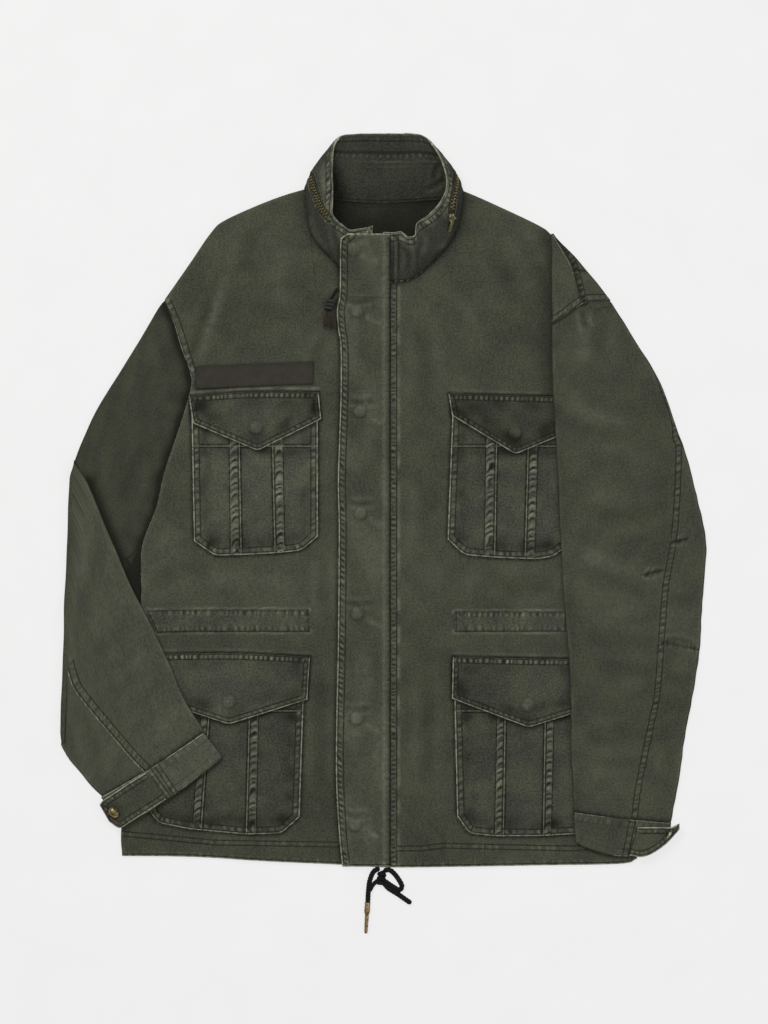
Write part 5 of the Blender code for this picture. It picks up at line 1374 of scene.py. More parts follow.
def tucked(ring, grain, low, high, first, reach, share):
    # runs an end of a tube on inside its neighbour, flatter than the tube itself
    end, deep = (ring[0], ring[min(3, len(ring) - 1)]) if first else (ring[-1], ring[-min(4, len(ring))])
    way = unit((end - deep)[:, :2].mean(0))
    k = 0 if first else -1
    middle = (low[k, :, 2] + high[k, :, 2]) / 2
    middle = np.concatenate([middle[::-1], middle[1:]])
    centre = end[:, :2].mean(0)
    rings, grains = [], []
    for forward, flat in ((0.3, 0.5 + share / 2), (reach, share)):
        inside = end.copy()
        inside[:, :2] = centre + (end[:, :2] - centre) * (1 - 0.03 * (1 - flat)) + way * forward
        inside[:, 2] = middle + (end[:, 2] - middle) * flat
        rings.append(inside)
        grains.append(grain[k] + [0, forward if first else -forward])
    if first:
        return np.concatenate([np.stack(rings[::-1]), ring]), np.concatenate([np.stack(grains[::-1]), grain])
    return np.concatenate([ring, np.stack(rings)]), np.concatenate([grain, np.stack(grains)])


def buildSimpleTube(node, step, edge, full, wide=None, ends=(None, None)):
    # ends: how far the first and the last end run on, and how flat they get
    low, high, s, width = tubeShape(tubes[node], step, edge, full, treeOf(node), wide=wide)
    grain, _ = grainOf(low, high, s, width)
    ring = ringOf(low, high)
    for first, end in zip((True, False), ends):
        if end:
            ring, grain = tucked(ring, grain, low, high, first, *end)
    cloth = Cloth(ring, grain=grain, closed=True)
    onTop(cloth, low.shape[1])
    return cloth, high, width


def edgeLine(table, which):
    rows = curveThrough(table)
    return rows[:, 0:2] if which == "a" else rows[:, 2:4]


def buildShoulder():
    cloth, _, width = buildSimpleTube("left_shoulder", 2.0, 5.0, 6.6, wide=60, ends=(None, (8.0, 0.45)))
    cloth.ripple(501, 40, 0.3)
    table = tubes["left_shoulder"]
    cloth.fold(edgeLine(table, "a"), 1.5, 0.2, seed=502)
    cloth.fold(edgeLine(table, "b"), 1.5, 0.05, seed=503)
    seam = curveThrough([(193.5, 305), (203, 289), (213.6, 270), (220, 247), (225.3, 228)], 2.0)
    hand = towards(seam, (240, 250))
    cloth.rub(nearest(seam, cloth.x, cloth.y)[0] + 0.9)
    cloth.shadowAndDyeBeside(offsetPath(seam, 3.5 * hand), 3.2, 0.7)
    cloth.stitched(seam, (1.8, 8.0), hand, 0.26, 7.0, seed=506, shade=0.5)
    cloth.ladder(seam, 4.9, 2.4, 6.0, 0.22, 0.55, hand, 0.3, 507)
    cloth.shadowAndDyeBeside([(223.1, 264.5), (236.9, 263.3)], 1.4, 0.9)
    armhole = curveThrough([(193.2, 201.3), (210, 212), (227.7, 225.4), (243, 228), (262, 228)], 2.0)
    hand = towards(armhole, (205, 250))
    gap, run, _ = nearest(offsetPath(armhole, 1.3 * hand), cloth.x, cloth.y)
    cloth.rub(gap + np.where(run < 42, 0.6, 1.3))
    cloth.stitched(armhole, (2.2, 9.0), hand, 0.30, 7.4, seed=505, shade=0.7)
    cloth.build("leftShoulder", ["left_shoulder"], (float(np.max(width)) * 2, 100), ["frontLeft"])


def joinCuff(cloth, points, above, seed):
    # the sleeve beside the seam of its cuff: a painted shadow where the cuff's edge lies over it, and the puckers
    # the seam draws it into
    seam = curveThrough(points, 2.0)
    cloth.shadowAndDyeBeside(seam, 3.6, 0.75)
    cloth.stitched(seam, (1.0,), above, 0.14, 8.0, seed=seed, raised=0.0, spill=0.6, shade=0.3, shown=False)


sleeveLines = {
    "seam": [(309, 151), (328.9, 96.6), (332.3, 70.1), (335.3, 60.9), (333.5, 5.8), (328.9, -48.9), (320.8, -93.1),
             (316.2, -148.3), (312.2, -202.4), (309.3, -228.8), (302.4, -261), (288.6, -328.9), (283.5, -368)],
    "darts": [[(330, -47.7), (349.6, -42.5)], [(296.7, -85.1), (319.7, -79.3)], [(317.4, -161.5), (363.4, -171)]],
    "creases": [
        ([(240, 222), (232, 196), (230, 150)], 7.0, 1.2), ([(252, 218), (246, 190), (248, 150)], 7.0, -0.9),
        ([(204, 120), (236, 98), (290, 92)], 8.0, 0.8), ([(204, 100), (240, 80), (300, 70)], 7.0, -0.8),
        ([(210, 20), (250, 6), (322, 22)], 9.0, 0.8), ([(214, 0), (262, -18), (330, -8)], 7.0, -0.8),
        ([(212, -52), (250, -66), (300, -86)], 8.0, 0.9), ([(216, -76), (258, -92), (312, -104)], 7.0, -1.0),
        ([(222, -122), (262, -128), (312, -124)], 8.0, 0.7), ([(222, -150), (266, -160), (314, -164)], 7.0, -0.9),
        ([(226, -204), (264, -212), (308, -206)], 8.0, 0.6), ([(224, -262), (256, -270), (296, -262)], 8.0, -0.6),
        ([(324, -110), (342, -116), (362, -110)], 6.0, -0.8), ([(322, -200), (338, -206), (356, -202)], 6.0, -0.7),
        ([(228, -318), (250, -312), (280, -322)], 7.0, 0.6), ([(318, -262), (328, -290), (326, -326)], 6.0, -0.6),
    ],
}


def buildLeftSleeve():
    cloth, _, width = buildSimpleTube("left_sleeve", 3.0, 5.0, 6.6, ends=((5.0, 0.3), (8.0, 0.8)))
    cloth.ripple(511, 70, 0.5)
    cloth.ripple(512, 32, 0.25, (0.6, 1.4))
    table = tubes["left_sleeve"]
    cloth.fold(edgeLine(table, "a"), 1.6, 0.6, seed=513)
    cloth.fold(edgeLine(table, "b"), 1.6, 0.6, seed=514)
    # painted shade in patches along the inner edge, beside the body
    cloth.shadowAndDyeBeside(edgeLine(table, "a"), 10.0, 0.25, seed=519)
    cloth.dark += np.where(cloth.where, 0.07 * ease((cloth.y - 40) / 60), 0)
    armhole = curveThrough([(192.7, 202.4), (210, 213), (227, 226.5), (243, 229.5), (261, 227.7)], 2.0)
    cloth.fold(armhole, 1.4, 0.05, seed=515)
    # painted shadow under the shoulder's edge at the armhole
    cloth.shadowAndDyeBeside(armhole, 1.6, 0.9)
    cloth.crease([(228, 222), (230, 205), (235, 194)], 4.0, -0.9, seed=516)
    seam = curveThrough(sleeveLines["seam"], 2.0)
    hand = towards(seam, (360, 0))
    cloth.stitched(seam, (0.0, 6.4), hand, 0.30, 8.0, seed=517, raised=0.55, spill=0.3, shade=0.8)
    cloth.ladder(seam, 3.2, 2.2, 6.2, 0.20, 0.75, hand, 0.3, 541)
    cloth.rub(nearest(offsetPath(seam, 1.2 * hand), cloth.x, cloth.y)[0] + 1.3)
    for dart in sleeveLines["darts"]:
        cloth.stitched(dart, (0.0,), 1, 0.26, 5.0, seed=518, raised=0.15, spill=0.6, shown="thread")
        cloth.shadowAndDyeBeside(dart, 1.5, 0.8)
        cloth.crease([dart[0], ((dart[0][0] + dart[1][0]) / 2, dart[0][1] + 2), dart[1]], 3.2, -0.5, seed=519)
    cloth.creases(sleeveLines["creases"], 520, 1.3, 0.7, 0.12, 0.08)
    joinCuff(cloth, [(217.3, -357.2), (282.3, -365.7), (294.4, -365.7), (326.6, -370.3)], (260, -300), 540)
    cloth.build("leftSleeve", ["left_sleeve"], (float(np.max(width)) * 2, 610), ["frontLeft", "back"])


rightLines = {
    "underarm": [(-302.4, -73.6), (-290, -62), (-278.3, -49.4)],
    "felled": [(-365.7, -184), (-357, -212), (-340, -236), (-318.5, -262.2), (-292, -293), (-272.5, -313)],
    "upperCreases": [
        ([(-262, 196), (-250, 150), (-262, 96)], 8.0, 1.0), ([(-280, 176), (-272, 130), (-282, 86)], 7.0, -0.9),
        ([(-252, 120), (-276, 70), (-310, 30)], 9.0, 1.0), ([(-262, 86), (-284, 40), (-316, 4)], 7.0, -1.0),
        ([(-270, 30), (-284, -4), (-300, -40)], 7.0, 0.8), ([(-304, 130), (-306, 96), (-324, 60)], 8.0, -0.7),
    ],
    "foreCreases": [
        ([(-338, 0), (-344, -50), (-350, -110)], 8.0, 0.8), ([(-322, -40), (-334, -84), (-346, -132)], 7.0, -0.9),
        ([(-296, -96), (-318, -128), (-346, -150)], 7.0, 0.9),
        ([(-284, -126), (-308, -156), (-340, -180)], 7.0, -0.9),
        ([(-266, -160), (-290, -192), (-322, -214)], 7.0, 0.8),
        ([(-250, -196), (-276, -226), (-304, -246)], 6.0, -0.8),
        ([(-230, -232), (-250, -256), (-276, -280)], 6.0, 0.7),
        ([(-352, -230), (-340, -262), (-330, -300)], 6.0, -0.7),
        ([(-306, -280), (-316, -300), (-320, -322)], 6.0, 0.5),
    ],
}


def buildRightSleeve():
    # one tube: down the upper arm, over the fold at the outer edge, and back down the forearm
    tree = treeOf("right_sleeve")
    upper, fore = tubes["upperArm"], tubes["forearm"]
    low, high, s, width = tubeShape(upper, 3.2, 5.0, 5.0, tree, fromBelow=True, wide=300)
    foreLow, foreHigh, foreS, foreWidth = tubeShape(fore, 3.2, 5.0, 6.6, tree, wide=300)
    grain, end = grainOf(low, high, s, width)
    foreGrain, _ = grainOf(foreLow, foreHigh, foreS, foreWidth, end + 14)
    pivot = float(high[-1, :, 2].max()) + 0.2
    along = unit(high[-1, -1, :2] - high[-1, 0, :2])
    out = np.array([along[1], -along[0]])
    if out[0] > 0:
        out = -out
    rings, grains = [ringOf(low, high)], [grain]
    for angle in np.radians([22, 45, 68, 90, 112, 135, 158, 178]):
        turned = []
        for face in (low[-1], high[-1]):
            radius = pivot - face[:, 2]
            moved = face.copy()
            fromA = np.linalg.norm(face[:, :2] - face[0, :2], axis=1)
            fromB = np.linalg.norm(face[:, :2] - face[-1, :2], axis=1)
            softer = (0.15 + 0.85 * ease(fromA / 22)) * (0.80 + 0.20 * ease(fromB / 12))
            moved[:, :2] = face[:, :2] + out * (radius * softer * math.sin(angle))[:, None]
            moved[:, 2] = pivot - radius * math.cos(angle)
            turned.append(moved)
        rings.append(ringOf(turned[0][None], turned[1][None]))
        grains.append(grain[-1:] - [0, 14 * angle / math.pi])
    folds = len(rings) - 1
    foreRing, foreGrain = tucked(ringOf(foreHigh, foreLow), foreGrain, foreHigh, foreLow, False, 8.0, 0.8)
    rings.append(foreRing)
    grains.append(foreGrain)
    cloth = Cloth(np.concatenate(rings), grain=np.concatenate(grains), closed=True)
    count = low.shape[1]
    first, second = len(low), len(low) + folds
    upperTop = np.zeros(cloth.shape, bool)
    upperTop[:first, count - 1:] = True
    foreTop = np.zeros(cloth.shape, bool)
    foreTop[second:, :count] = True

    cloth.where = upperTop
    cloth.ripple(551, 70, 0.5)
    cloth.dark += np.where(upperTop, 0.26, 0)
    body = curveThrough(sides["right"])
    # painted shadow of the body's side edge, which lies over the upper arm
    cloth.shadowAndDyeBeside(body, 7.0, 0.8)
    cloth.shadowAndDyeBeside(body, 26.0, 0.25, seed=556)
    cloth.fold(edgeLine(upper, "b"), 1.6, 0.5, seed=553)
    cloth.creases(rightLines["upperCreases"], 560, 1.6, 0.6, 0.10, 0.0)
    # painted shadow of the forearm's edge, which lies over the upper arm
    cloth.shadowAndDyeBeside(edgeLine(fore, "a"), 9.0, 0.8)
    seam = curveThrough(rightLines["underarm"], 2.0)
    cloth.stitched(seam, (0.0, 8.0), (-290, -90), 0.24, 6.0, seed=570)
    # painted shade in the dark gap under the arm
    cloth.shadowAndDyeBeside(curveThrough([(-300, -104), (-284, -92), (-276, -84)], 2.0), 14.0, 0.9)

    cloth.where = foreTop
    cloth.fold(edgeLine(fore, "a"), 1.6, 0.7, seed=554)
    cloth.fold(edgeLine(fore, "b"), 1.6, 0.8, seed=555)
    cloth.creases(rightLines["foreCreases"], 580, 1.3, 0.7, 0.10, 0.06)
    cloth.worn += np.where(foreTop, 0.05, 0)
    felled = curveThrough(rightLines["felled"], 2.0)
    hand = towards(felled, (-270, -230))
    cloth.stitched(felled, (1.6, 9.4), hand, 0.30, 8.0, seed=571, raised=0.6, spill=0.25, shade=0.6)
    cloth.ladder(felled, 5.5, 2.6, 6.4, 0.20, 0.55, hand, 0.4, 573, steady=0.2)
    cloth.rub(np.where(foreTop, nearest(felled, cloth.x, cloth.y)[0] + 0.7, clear))
    joinCuff(cloth, [(-205.8, -264.5), (-272.5, -310.5), (-323.1, -340.4)], (-290, -250), 572)
    cloth.build("rightSleeve", ["right_sleeve"], (660, 330), ["back", "frontRight"])


def buildCuff(side):
    # the open end is turned in, so that the cuff shows its thickness and a little of its inside
    cloth, high, width = buildSimpleTube(f"{side}_cuff", 1.6, 7.0, 7.0, ends=(None, (-9.0, 0.42)))
    cloth.ripple(601, 40, 0.3)
    rows = curveThrough(tubes[f"{side}_cuff"])
    seam, hem = high[0, :, :2], high[-1, :, :2]
    middle = tuple(high[len(high) // 2, high.shape[1] // 2, :2])
    cloth.where[-2:] = False
    cloth.fold(seam, 1.4, 0.8 if side == "right" else 0.55, seed=602)
    cloth.tone(-0.10 if side == "right" else 0.0)
    cloth.fold(hem, 1.6, 1.0, seed=603)
    cloth.fold(rows[:, 0:2], 1.6, 0.7, seed=604)
    cloth.fold(rows[:, 2:4], 1.6, 0.7, seed=605)
    cloth.stitched(seam, (2.0, 9.0), middle, 0.16, seed=606, shade=0.4, raised=0.1, shown="thread")
    cloth.stitched(hem, (2.2, 9.0), middle, 0.12, seed=607, shade=0.2, raised=0.1, shown="thread")
    bands = [[(283, -362), (273, -408)]]
    if side == "right":
        bands = [[(-272.9, -308), (-247.4, -342.6)], [(-262.7, -304.3), (-239.7, -338.8)]]
    for number, band in enumerate(bands):
        wide = 5.0 if side == "right" else 6.6
        cloth.stitched(band, (0.0, wide), 1, 0.20, seed=608 + number, raised=0.2, spill=0.2, shade=0.5)
        if side == "left":
            band = offsetPath(spread(band, 12), 8.2)
        cloth.rub(np.where(cloth.where, nearest(band, cloth.x, cloth.y)[0] + 0.8, clear))
    cloth.build(f"{side}Cuff", [f"{side}_cuff"], (float(np.max(width)) * 2.05, 66), ["back"])


def buildTab(side):
    table = np.array([(*near, *far) for near, far in tabs[side]], float)
    rows = curveThrough(table, 1.6)
    wide = 40.0
    s = stations(wide, 1.5)
    plan = rows[:, None, :2] + (rows[:, None, 2:] - rows[:, None, :2]) * s[None, :, None]
    cloth = laid(plan, f"{side}_cuff_tab", step=2.0, blur=4.0, inset=2.0)
    outline = np.vstack([rows[:, :2], rows[::-1, 2:]])
    snap = tabSnaps[side]
    hand = towards(outline, snap)
    cloth.fold(outline, 1.8, 1.0, soft=2.2, seed=620)
    cloth.stitched(outline, (2.2, 7.0), hand, 0.26, 7.4, seed=621, shade=0.6)
    cloth.ladder(outline, 4.4, 2.3, 6.0, 0.28, 0.45, hand, 0.3, 622, steady=0.1)
    cloth.worn += 0.30 * bell(nearest(outline, cloth.x, cloth.y)[0], 1.6)
    # painted shade round the snap
    cloth.shadowAndDyeBeside([snap[:2], (snap[0] + 0.1, snap[1])], 10.0, 0.6)
    cloth.build(f"{side}CuffTab", [f"{side}_cuff_tab"], (66, 42), [f"{side}Cuff"], rim=2.1)


def buildTabSnap(side):
    # a plain brass cap with a rolled rim, a sunk ring and a low crown
    x, y, radius = tabSnaps[side]
    profile = [(0.02, 1.9), (0.2, 1.88), (0.4, 1.8), (0.58, 1.62), (0.66, 1.45), (0.70, 1.35), (0.74, 1.42),
               (0.80, 1.75), (0.87, 1.95), (0.94, 1.85), (0.99, 1.5), (1.0, 1.1), (0.98, 0.7), (0.92, 0.4),
               (0.9, 0.0)]  # share of its radius, height
    around = 48
    level = topOf(f"{side}_cuff_tab", x, y, 4.0)
    axes = np.array([[0.80, 0.37, 0], [-0.60, 0.62, 0], [0, 0, 1.0]])
    if side == "left":
        # the end of this tab turns away, so that its snap shows almost edge on
        axes = np.array([[0.52, 0.26, 0], [0.85, -0.16, 0], [0, 0, 1.0]])
    points = [np.array((x, y, level)) + axes @ (r * radius * math.cos(a), r * radius * math.sin(a), h * 1.5 + 0.2)
              for r, h in profile for a in circle(around)]
    meshPiece(f"{side}CuffSnap", points, gridFaces(len(profile), around, True)[:, ::-1],
              finishes["darkBrass" if side == "right" else "paleBrass"], "brass", [f"{side}_cuff_snap"])


buildShoulder()
buildLeftSleeve()
buildRightSleeve()
for side in ("right", "left"):
    buildCuff(side)
    buildTab(side)
    buildTabSnap(side)
print("sleeves and cuffs laid")


def buildCollar():
    rows = np.array(collar["rows"], float)
    table = smoothCurve(rows, rows[0], rows[-1])
    places = runOf((table[:, 0:3] + table[:, 3:6]) / 2)
    shares = stations(places[-1], 1.9) * places[-1]
    table = between(shares, places, table)
    seam, edge, bow = table[:, 0:3], table[:, 3:6], np.maximum(table[:, 6], 0)
    out = (seam + edge) / 2 - np.array(collar["neck"], float)
    out[:, 2] = np.where(bow > 0.05, np.abs(out[:, 2]) * 0.5 + collar["bowLift"], 0)
    out = unit(out)
    tall = 72.0
    v = stations(tall, 1.7)
    face = (seam[None] * (1 - v[:, None, None]) + edge[None] * v[:, None, None]
            + out[None] * (bow * collar["bowShare"])[None, :, None] * (v * (1 - v))[:, None, None])
    face[..., 2] = np.maximum(face[..., 2], 0)
    facing = unit(np.cross(np.gradient(face, axis=1), np.gradient(face, axis=0)))
    front = (len(v) // 2, 20, 1)  # halfway up the front of the collar, which faces the hem
    if facing[front] > 0:
        facing = -facing
    inner = face - facing * collar["thick"]
    # over the top edge in a half round, then down the inside
    top, normal = face[-1], facing[-1]
    upwards = unit(face[-1] - face[-4])
    half = collar["thick"] / 2
    turn = [top - normal * half + half * (math.cos(a) * normal + 0.7 * math.sin(a) * upwards)
            for a in np.radians([30, 60, 90, 120, 150])]
    grid = np.concatenate([face, np.stack(turn), inner[::-1]])
    over = tall + 4.2  # where the inner face begins, measured up the outer one and over the top
    height = np.concatenate([v * tall, tall + np.array([0.7, 1.4, 2.1, 2.8, 3.5]), over + (1 - v[::-1]) * tall])
    run, up = np.meshgrid(shares, height)
    cloth = Cloth(grid, grain=np.stack([run, up], axis=2))
    cloth.facing = unit(np.cross(np.gradient(grid, axis=1), np.gradient(grid, axis=0)))
    cloth.flipped = bool(cloth.facing[front] > 0)
    if cloth.flipped:
        cloth.facing = -cloth.facing
    cloth.x, cloth.y = run, up
    end = shares[-1]
    cloth.ripple(701, 60, 0.5, (1.0, 0.6))
    cloth.ripple(702, 24, 0.25)
    outerTop, innerTop, foot, lowest = [[(0, level), (end, level)] for level in (tall, over, 0.0, over + tall)]
    outer = up < tall
    cloth.rub(np.abs(up - tall - 2.6) - 0.2)
    cloth.worn += 0.34 * bell(up - tall, 12.0) * outer * patches(705, 26, run, up, mean=0.6, swing=0.6)
    cloth.worn += 0.62 * bell(up - tall - 2.0, 2.6) * patches(712, 9, run, mean=0.8, low=0.1, high=1.2)
    cloth.stitched(outerTop, (2.2, 8.6), -1, 0.34, seed=703, shade=0.9)
    cloth.ladder(outerTop, 5.4, 2.8, 6.2, 0.35, 0.75, -1, 0.4, 713)
    cloth.stitched(innerTop, (7.3,), 1, 0.20, seed=704, shade=0.35, shown="line")
    cloth.stitched(foot, (2.0, 8.0), 1, 0.30, seed=706, shade=0.8)
    cloth.ladder(foot, 5.0, 2.6, 6.6, 0.30, 0.60, 1, 0.3, 714)
    cloth.rub(np.where(outer, up + 0.9, clear))
    low = over + tall
    cloth.rub(np.where(up > low - 3, low - up + 1.5, clear))
    cloth.stitched(lowest, (2.4,), -1, 0.10, seed=707, shade=0.25, shown="line")
    for inside, deep in ((19.6, 0.8), (34.6, 0.15)):
        level = [(0, over + inside), (end, over + inside)]
        cloth.stitched(level, (0.0,), 1, 0.10, seed=708, raised=0.0, spill=0.5, shade=0.15, shown=False)
        cloth.shadowAndDyeBeside(level, 1.3, deep)
        cloth.relief += 0.5 * ease((over + inside - up) / 2.0) * (up > tall + 12)
    cloth.ladder(innerTop, 24.0, 3.2, 8.2, 0.22, 0.25, 1, 0.0, 715)
    for inside in (29.2, 34.0):
        cloth.worn += 0.16 * bell(up - over - inside, 0.8) * patches(716, 40, run)
    # painted shade over the top and down the inner face, deeper towards its lowest edge
    cloth.dark += np.where(outer, 0.0, 0.22 + 0.25 * ease((up - low + 30) / 30))
    for x in (0.0, end):
        path = [(x, 0), (x, tall)]
        cloth.rub(np.abs(run - x) + 0.6)
        cloth.stitched(path, (2.2, 8.0), (end / 2, 20), 0.24, seed=709)
    # marks that are placed in plan on the outer face: the folds beside the zip, seams and creases
    cloth.where = outer
    cloth.x, cloth.y = grid[..., 0], grid[..., 1]
    for side in ("right", "left"):
        zipLine = curveThrough(collarZips[side], 2.0)
        gap = nearest(zipLine, cloth.x, cloth.y)[0]
        cloth.rub(np.where(outer, np.abs(gap - 5.0) + 1.0, clear))
        cloth.dark += np.where(outer, 0.75 * bell(gap - 2.8, 1.6), 0)
        cloth.relief += np.where(outer, 0.6 * bell(gap - 5.2, 1.5), 0)
    for path, depth in (([(-75.9, 385.2), (-69, 356), (-62.7, 331.2)], 0.7),
                        ([(-66, 396), (-63, 372), (-61, 350)], -0.5),
                        ([(-84, 330), (-78, 305), (-62, 283)], 0.9), ([(-58, 314), (-54, 294), (-47, 276)], -0.7),
                        ([(62, 362), (66, 340), (60, 320)], -0.6), ([(50, 306), (46, 288), (38, 268)], 0.8),
                        ([(26, 292), (28, 276), (26, 262)], -0.5), ([(78, 312), (70, 296), (58, 284)], 0.6)):
        cloth.crease(path, 3.4, depth, dark=0.30, worn=0.16, seed=720 + int(path[0][0]))
    for x in (10.5, 16.5):
        cloth.shadowAndDyeBeside([(x, 249), (x, 304)], 0.9, 0.8)
    cloth.worn += np.where(outer, 0.12 * bell(cloth.x - 13.5, 1.6) * (cloth.y < 302), 0)
    cloth.dark += np.where(outer, 0.5 * ease((18 - up) / 20), 0)
    cloth.where = up > tall + 6
    for path, depth in (([(72, 373), (60, 365), (46, 357)], -0.9), ([(70, 362), (58, 356), (44, 355)], 0.7),
                        ([(66, 392), (58, 380), (56, 366)], -0.6), ([(-62, 380), (-56, 366), (-58, 352)], -0.8)):
        cloth.crease(path, 3.0, depth, dark=0.35, worn=0.16, seed=740 + int(abs(path[0][0])))
    # a patch of painted shade low on the inner face, at the right
    cloth.shadowAndDyeBeside([(-54, 374), (-50, 350)], 9.0, 0.5)
    cloth.x, cloth.y = run, up
    cloth.threads = []  # its stitches follow its own face instead
    cloth.build("collarCloth", ["collar"], (end + 4, 2 * tall + 8), ["frontRight", "frontLeft", "back"], "collar",
                rim=0)
    sewCollar(cloth, end, tall)


def sewCollar(cloth, end, tall):
    # stitches on the collar follow its own face, in and out of view from above
    points = cloth.finished()
    run, up = cloth.x[0], cloth.y[:, 0]
    cells = []

    def place(u, v):
        i = min(max(int(np.searchsorted(run, u)) - 1, 0), len(run) - 2)
        j = min(max(int(np.searchsorted(up, v)) - 1, 0), len(up) - 2)
        a = (u - run[i]) / (run[i + 1] - run[i] + 1e-9)
        b = (v - up[j]) / (up[j + 1] - up[j] + 1e-9)
        spot = ((points[j, i] * (1 - a) + points[j, i + 1] * a) * (1 - b)
                + (points[j + 1, i] * (1 - a) + points[j + 1, i + 1] * a) * b)
        return spot, points[j, i + 1] - points[j, i], cloth.facing[j, i]

    for row in (tall - 2.2, tall - 8.6, 2.0, 7.4, tall + 6.4, tall + 12.8, tall + 21.6, 2 * tall + 2.2):
        for u in np.arange(3, end - 3, thread["pitch"]):
            cells.append(place(float(u), row))
    threadBars("collarStitches", cells)


collarTree = treeOf("collar")


def collarPoint(x, y, around=3.0):
    # the collar's outer face at a place, with its direction evened out over a little way
    points, facing = [], Vector()
    for dx, dy in ((0, 0), (around, 0), (-around, 0), (0, around), (0, -around)):
        hit, normal = dropOn(collarTree, x + dx, y + dy)
        if hit:
            points.append(np.array(hit) / mm)
            facing += normal
    return points[0], np.array(facing.normalized())


def buildCollarZip(side):
    # brass teeth on both halves of a woven tape
    route = curveThrough(collarZips[side], 0.9)
    places = [collarPoint(x, y, 4.0) for x, y in route]
    spots = np.array([p for p, _ in places])
    facing = np.array([n for _, n in places])
    kernel = np.ones(9) / 9
    smoothed = []
    for values in (spots, facing):
        padded = np.pad(values, ((4, 4), (0, 0)), mode="edge")
        smoothed.append(np.stack([np.convolve(padded[:, k], kernel, mode="valid") for k in range(3)], axis=1))
    spots, facing = smoothed
    facing, way = unit(facing), directions(spots)
    across = unit(np.cross(facing, way))
    section = [(-4.4, 0.3), (-4.0, 1.0), (-3.0, 1.2), (-0.3, 1.2), (0.3, 1.2), (3.0, 1.2), (4.0, 1.0), (4.4, 0.3)]
    tape = np.stack([spots + across * aside + facing * lift for aside, lift in section], axis=1)
    meshPiece(f"{side}CollarZipTape", tape.reshape(-1, 3), gridFaces(len(spots), 8), finishes["zipTape"], "tape")
    run = runOf(spots)
    points, faces = [], []
    pitch = 1.9  # drawn coarser than the real 1.1 mm so that the teeth show
    tooth = [(-0.3, -0.42), (-0.1, -0.48), (1.0, -0.30), (2.0, -0.40), (3.3, -0.36), (3.3, 0.36), (2.0, 0.40),
             (1.0, 0.30), (-0.1, 0.48), (-0.3, 0.42)]  # from the chain's middle outwards, and along it
    for k in range(int(run[-1] / pitch)):
        at = (k + 0.5) * pitch
        spot, normal, along, aside = [between(at, run, values) for values in (spots, facing, way, across)]
        hand = 1 if k % 2 else -1
        base = len(points)
        for level, shrink in ((1.0, 1.0), (2.4, 1.0), (2.9, 0.72)):
            for u, v in tooth:
                out = hand * (u * shrink + 1 - shrink)
                points.append(spot + aside * out + along * v * shrink + normal * level)
        size = len(tooth)
        for layer in (0, 1):
            for n in range(size):
                a, b = base + layer * size + n, base + layer * size + (n + 1) % size
                face = (a, b, b + size, a + size)
                faces.append(face if hand > 0 else face[::-1])
        cap = tuple(base + 2 * size + n for n in range(size))
        faces.append(cap if hand > 0 else cap[::-1])
    meshPiece(f"{side}CollarZip", points, faces, finishes["brass"], "brass", [f"{side}_collar_zip"], smooth=False)


def sliderAxes():
    # x down the zip, y across it, z out of the collar
    (upper, facing), (lower, _) = [collarPoint(*place) for place in slider["at"]]
    across = unit(np.cross(facing, lower - upper))
    down = np.cross(across, facing)
    return (upper + lower) / 2 + facing * slider["lift"], np.stack([down, across, facing], axis=1)


def roundedPlate(outline, low, high, edge=0.35):
    # a flat plate from an outline in its own x and y, with softened edges
    outline = np.array(outline, float)
    centre = outline.mean(0)
    rings = []
    for level, shrink in ((low, edge), (low + edge, 0), (high - edge, 0), (high, edge)):
        reach = outline - centre
        size = np.linalg.norm(reach, axis=1)[:, None]
        levels = np.full((len(outline), 1), level)
        rings.append(np.concatenate([centre + reach * (1 - shrink / size), levels], axis=1))
    points = np.concatenate(rings)
    count = len(outline)
    faces = [(a + n, a + (n + 1) % count, a + count + (n + 1) % count, a + count + n)
             for a in (0, count, 2 * count) for n in range(count)]
    faces += [tuple(range(count))[::-1], tuple(range(3 * count, 4 * count))]
    return points, faces


def joinParts(name, parts, place, axes, node, body):
    points, faces = [], []
    for partPoints, partFaces in parts:
        base = sum(len(p) for p in points)
        points.append(np.asarray(partPoints))
        faces += [tuple(base + v for v in face) for face in partFaces]
    points = np.concatenate(points) @ axes.T + place
    meshPiece(name, points, faces, finishes["brass"], "brass", [node], body, smooth=False)


def barAlongY(radius, length, centre, count=16):
    points = [(centre[0] + radius * math.cos(a), y, centre[2] + radius * math.sin(a))
              for y in (-length / 2, length / 2) for a in circle(count)]
    faces = [(n, count + n, count + (n + 1) % count, (n + 1) % count) for n in range(count)]
    return points, faces


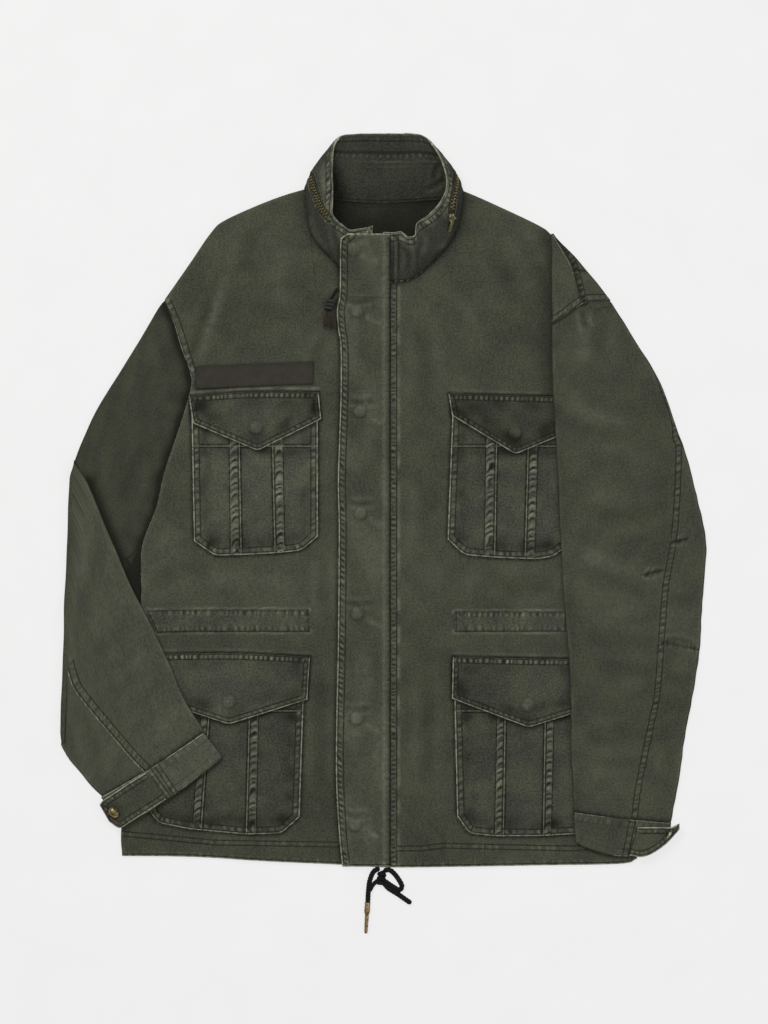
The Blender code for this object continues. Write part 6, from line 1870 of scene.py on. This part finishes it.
def buildSlider():
    place, axes = sliderAxes()
    width, height = slider["width"], slider["height"]
    body = [(-4.5, -2.3), (-3.9, -3.0), (-1.0, -3.2), (2.5, -2.7), (4.5, -2.2), (4.5, 2.2), (2.5, 2.7),
            (-1.0, 3.2), (-3.9, 3.0), (-4.5, 2.3)]
    parts = [roundedPlate(body, 0.0, 0.75, 0.25), roundedPlate(body, 1.0, height + 0.1, 0.3)]
    top = height + slider["bridge"] + slider["bar"]
    for side in (-1, 1):
        post = [(-0.95, side * 2.1), (0.95, side * 2.1), (0.95, side * 3.1), (-0.95, side * 3.1)]
        parts.append(roundedPlate(post if side > 0 else post[::-1], height - 0.2, top, 0.2))
    parts.append(barAlongY(slider["bar"], width - 1.1, (0, 0, height + slider["bridge"])))
    joinParts("collarZipSlider", parts, place, axes, "collar_zip_slider", "jacket")
    drop = math.radians(slider["drop"])
    turn = np.array([[math.cos(drop), 0, math.sin(drop)], [0, 1, 0], [-math.sin(drop), 0, math.cos(drop)]])
    pullPlace = place + axes @ np.array([0, 0, height + slider["bridge"]])
    thick = slider["pullThick"]
    half = [(2.4, 0.8), (4.0, 1.2), (5.5, 2.0), (8.0, 2.1), (16.4, 2.1), (17.4, 1.7), (18.0, 0.9)]
    outline = [(x, -y) for x, y in half] + half[::-1]
    blade = roundedPlate(outline, -thick / 2, thick / 2, 0.25)
    inset = [(7.0, -1.2), (15.6, -1.2), (16.2, 0), (15.6, 1.2), (7.0, 1.2), (6.4, 0)]
    panel = roundedPlate(inset, thick / 2 - 0.1, thick / 2 + 0.2, 0.12)
    around, ring = 24, []
    for radius, y in ((2.2, -0.6), (2.35, 0.0), (2.2, 0.6), (1.3, 0.75), (1.08, 0.0), (1.3, -0.75)):
        ring += [(radius * math.cos(a), y, radius * math.sin(a)) for a in circle(around)]
    index = np.arange(len(ring)).reshape(-1, around)
    beside, after = np.roll(index, -1, axis=1), np.roll(index, -1, axis=0)
    ringFaces = np.stack([index, beside, np.roll(beside, -1, axis=0), after], axis=-1).reshape(-1, 4).tolist()
    joinParts("collarZipPull", [blade, panel, (ring, ringFaces)], pullPlace, axes @ turn, "collar_zip_pull",
              "pull_tab")


buildCollar()
for side in ("right", "left"):
    buildCollarZip(side)
buildSlider()
print("collar and zip built")
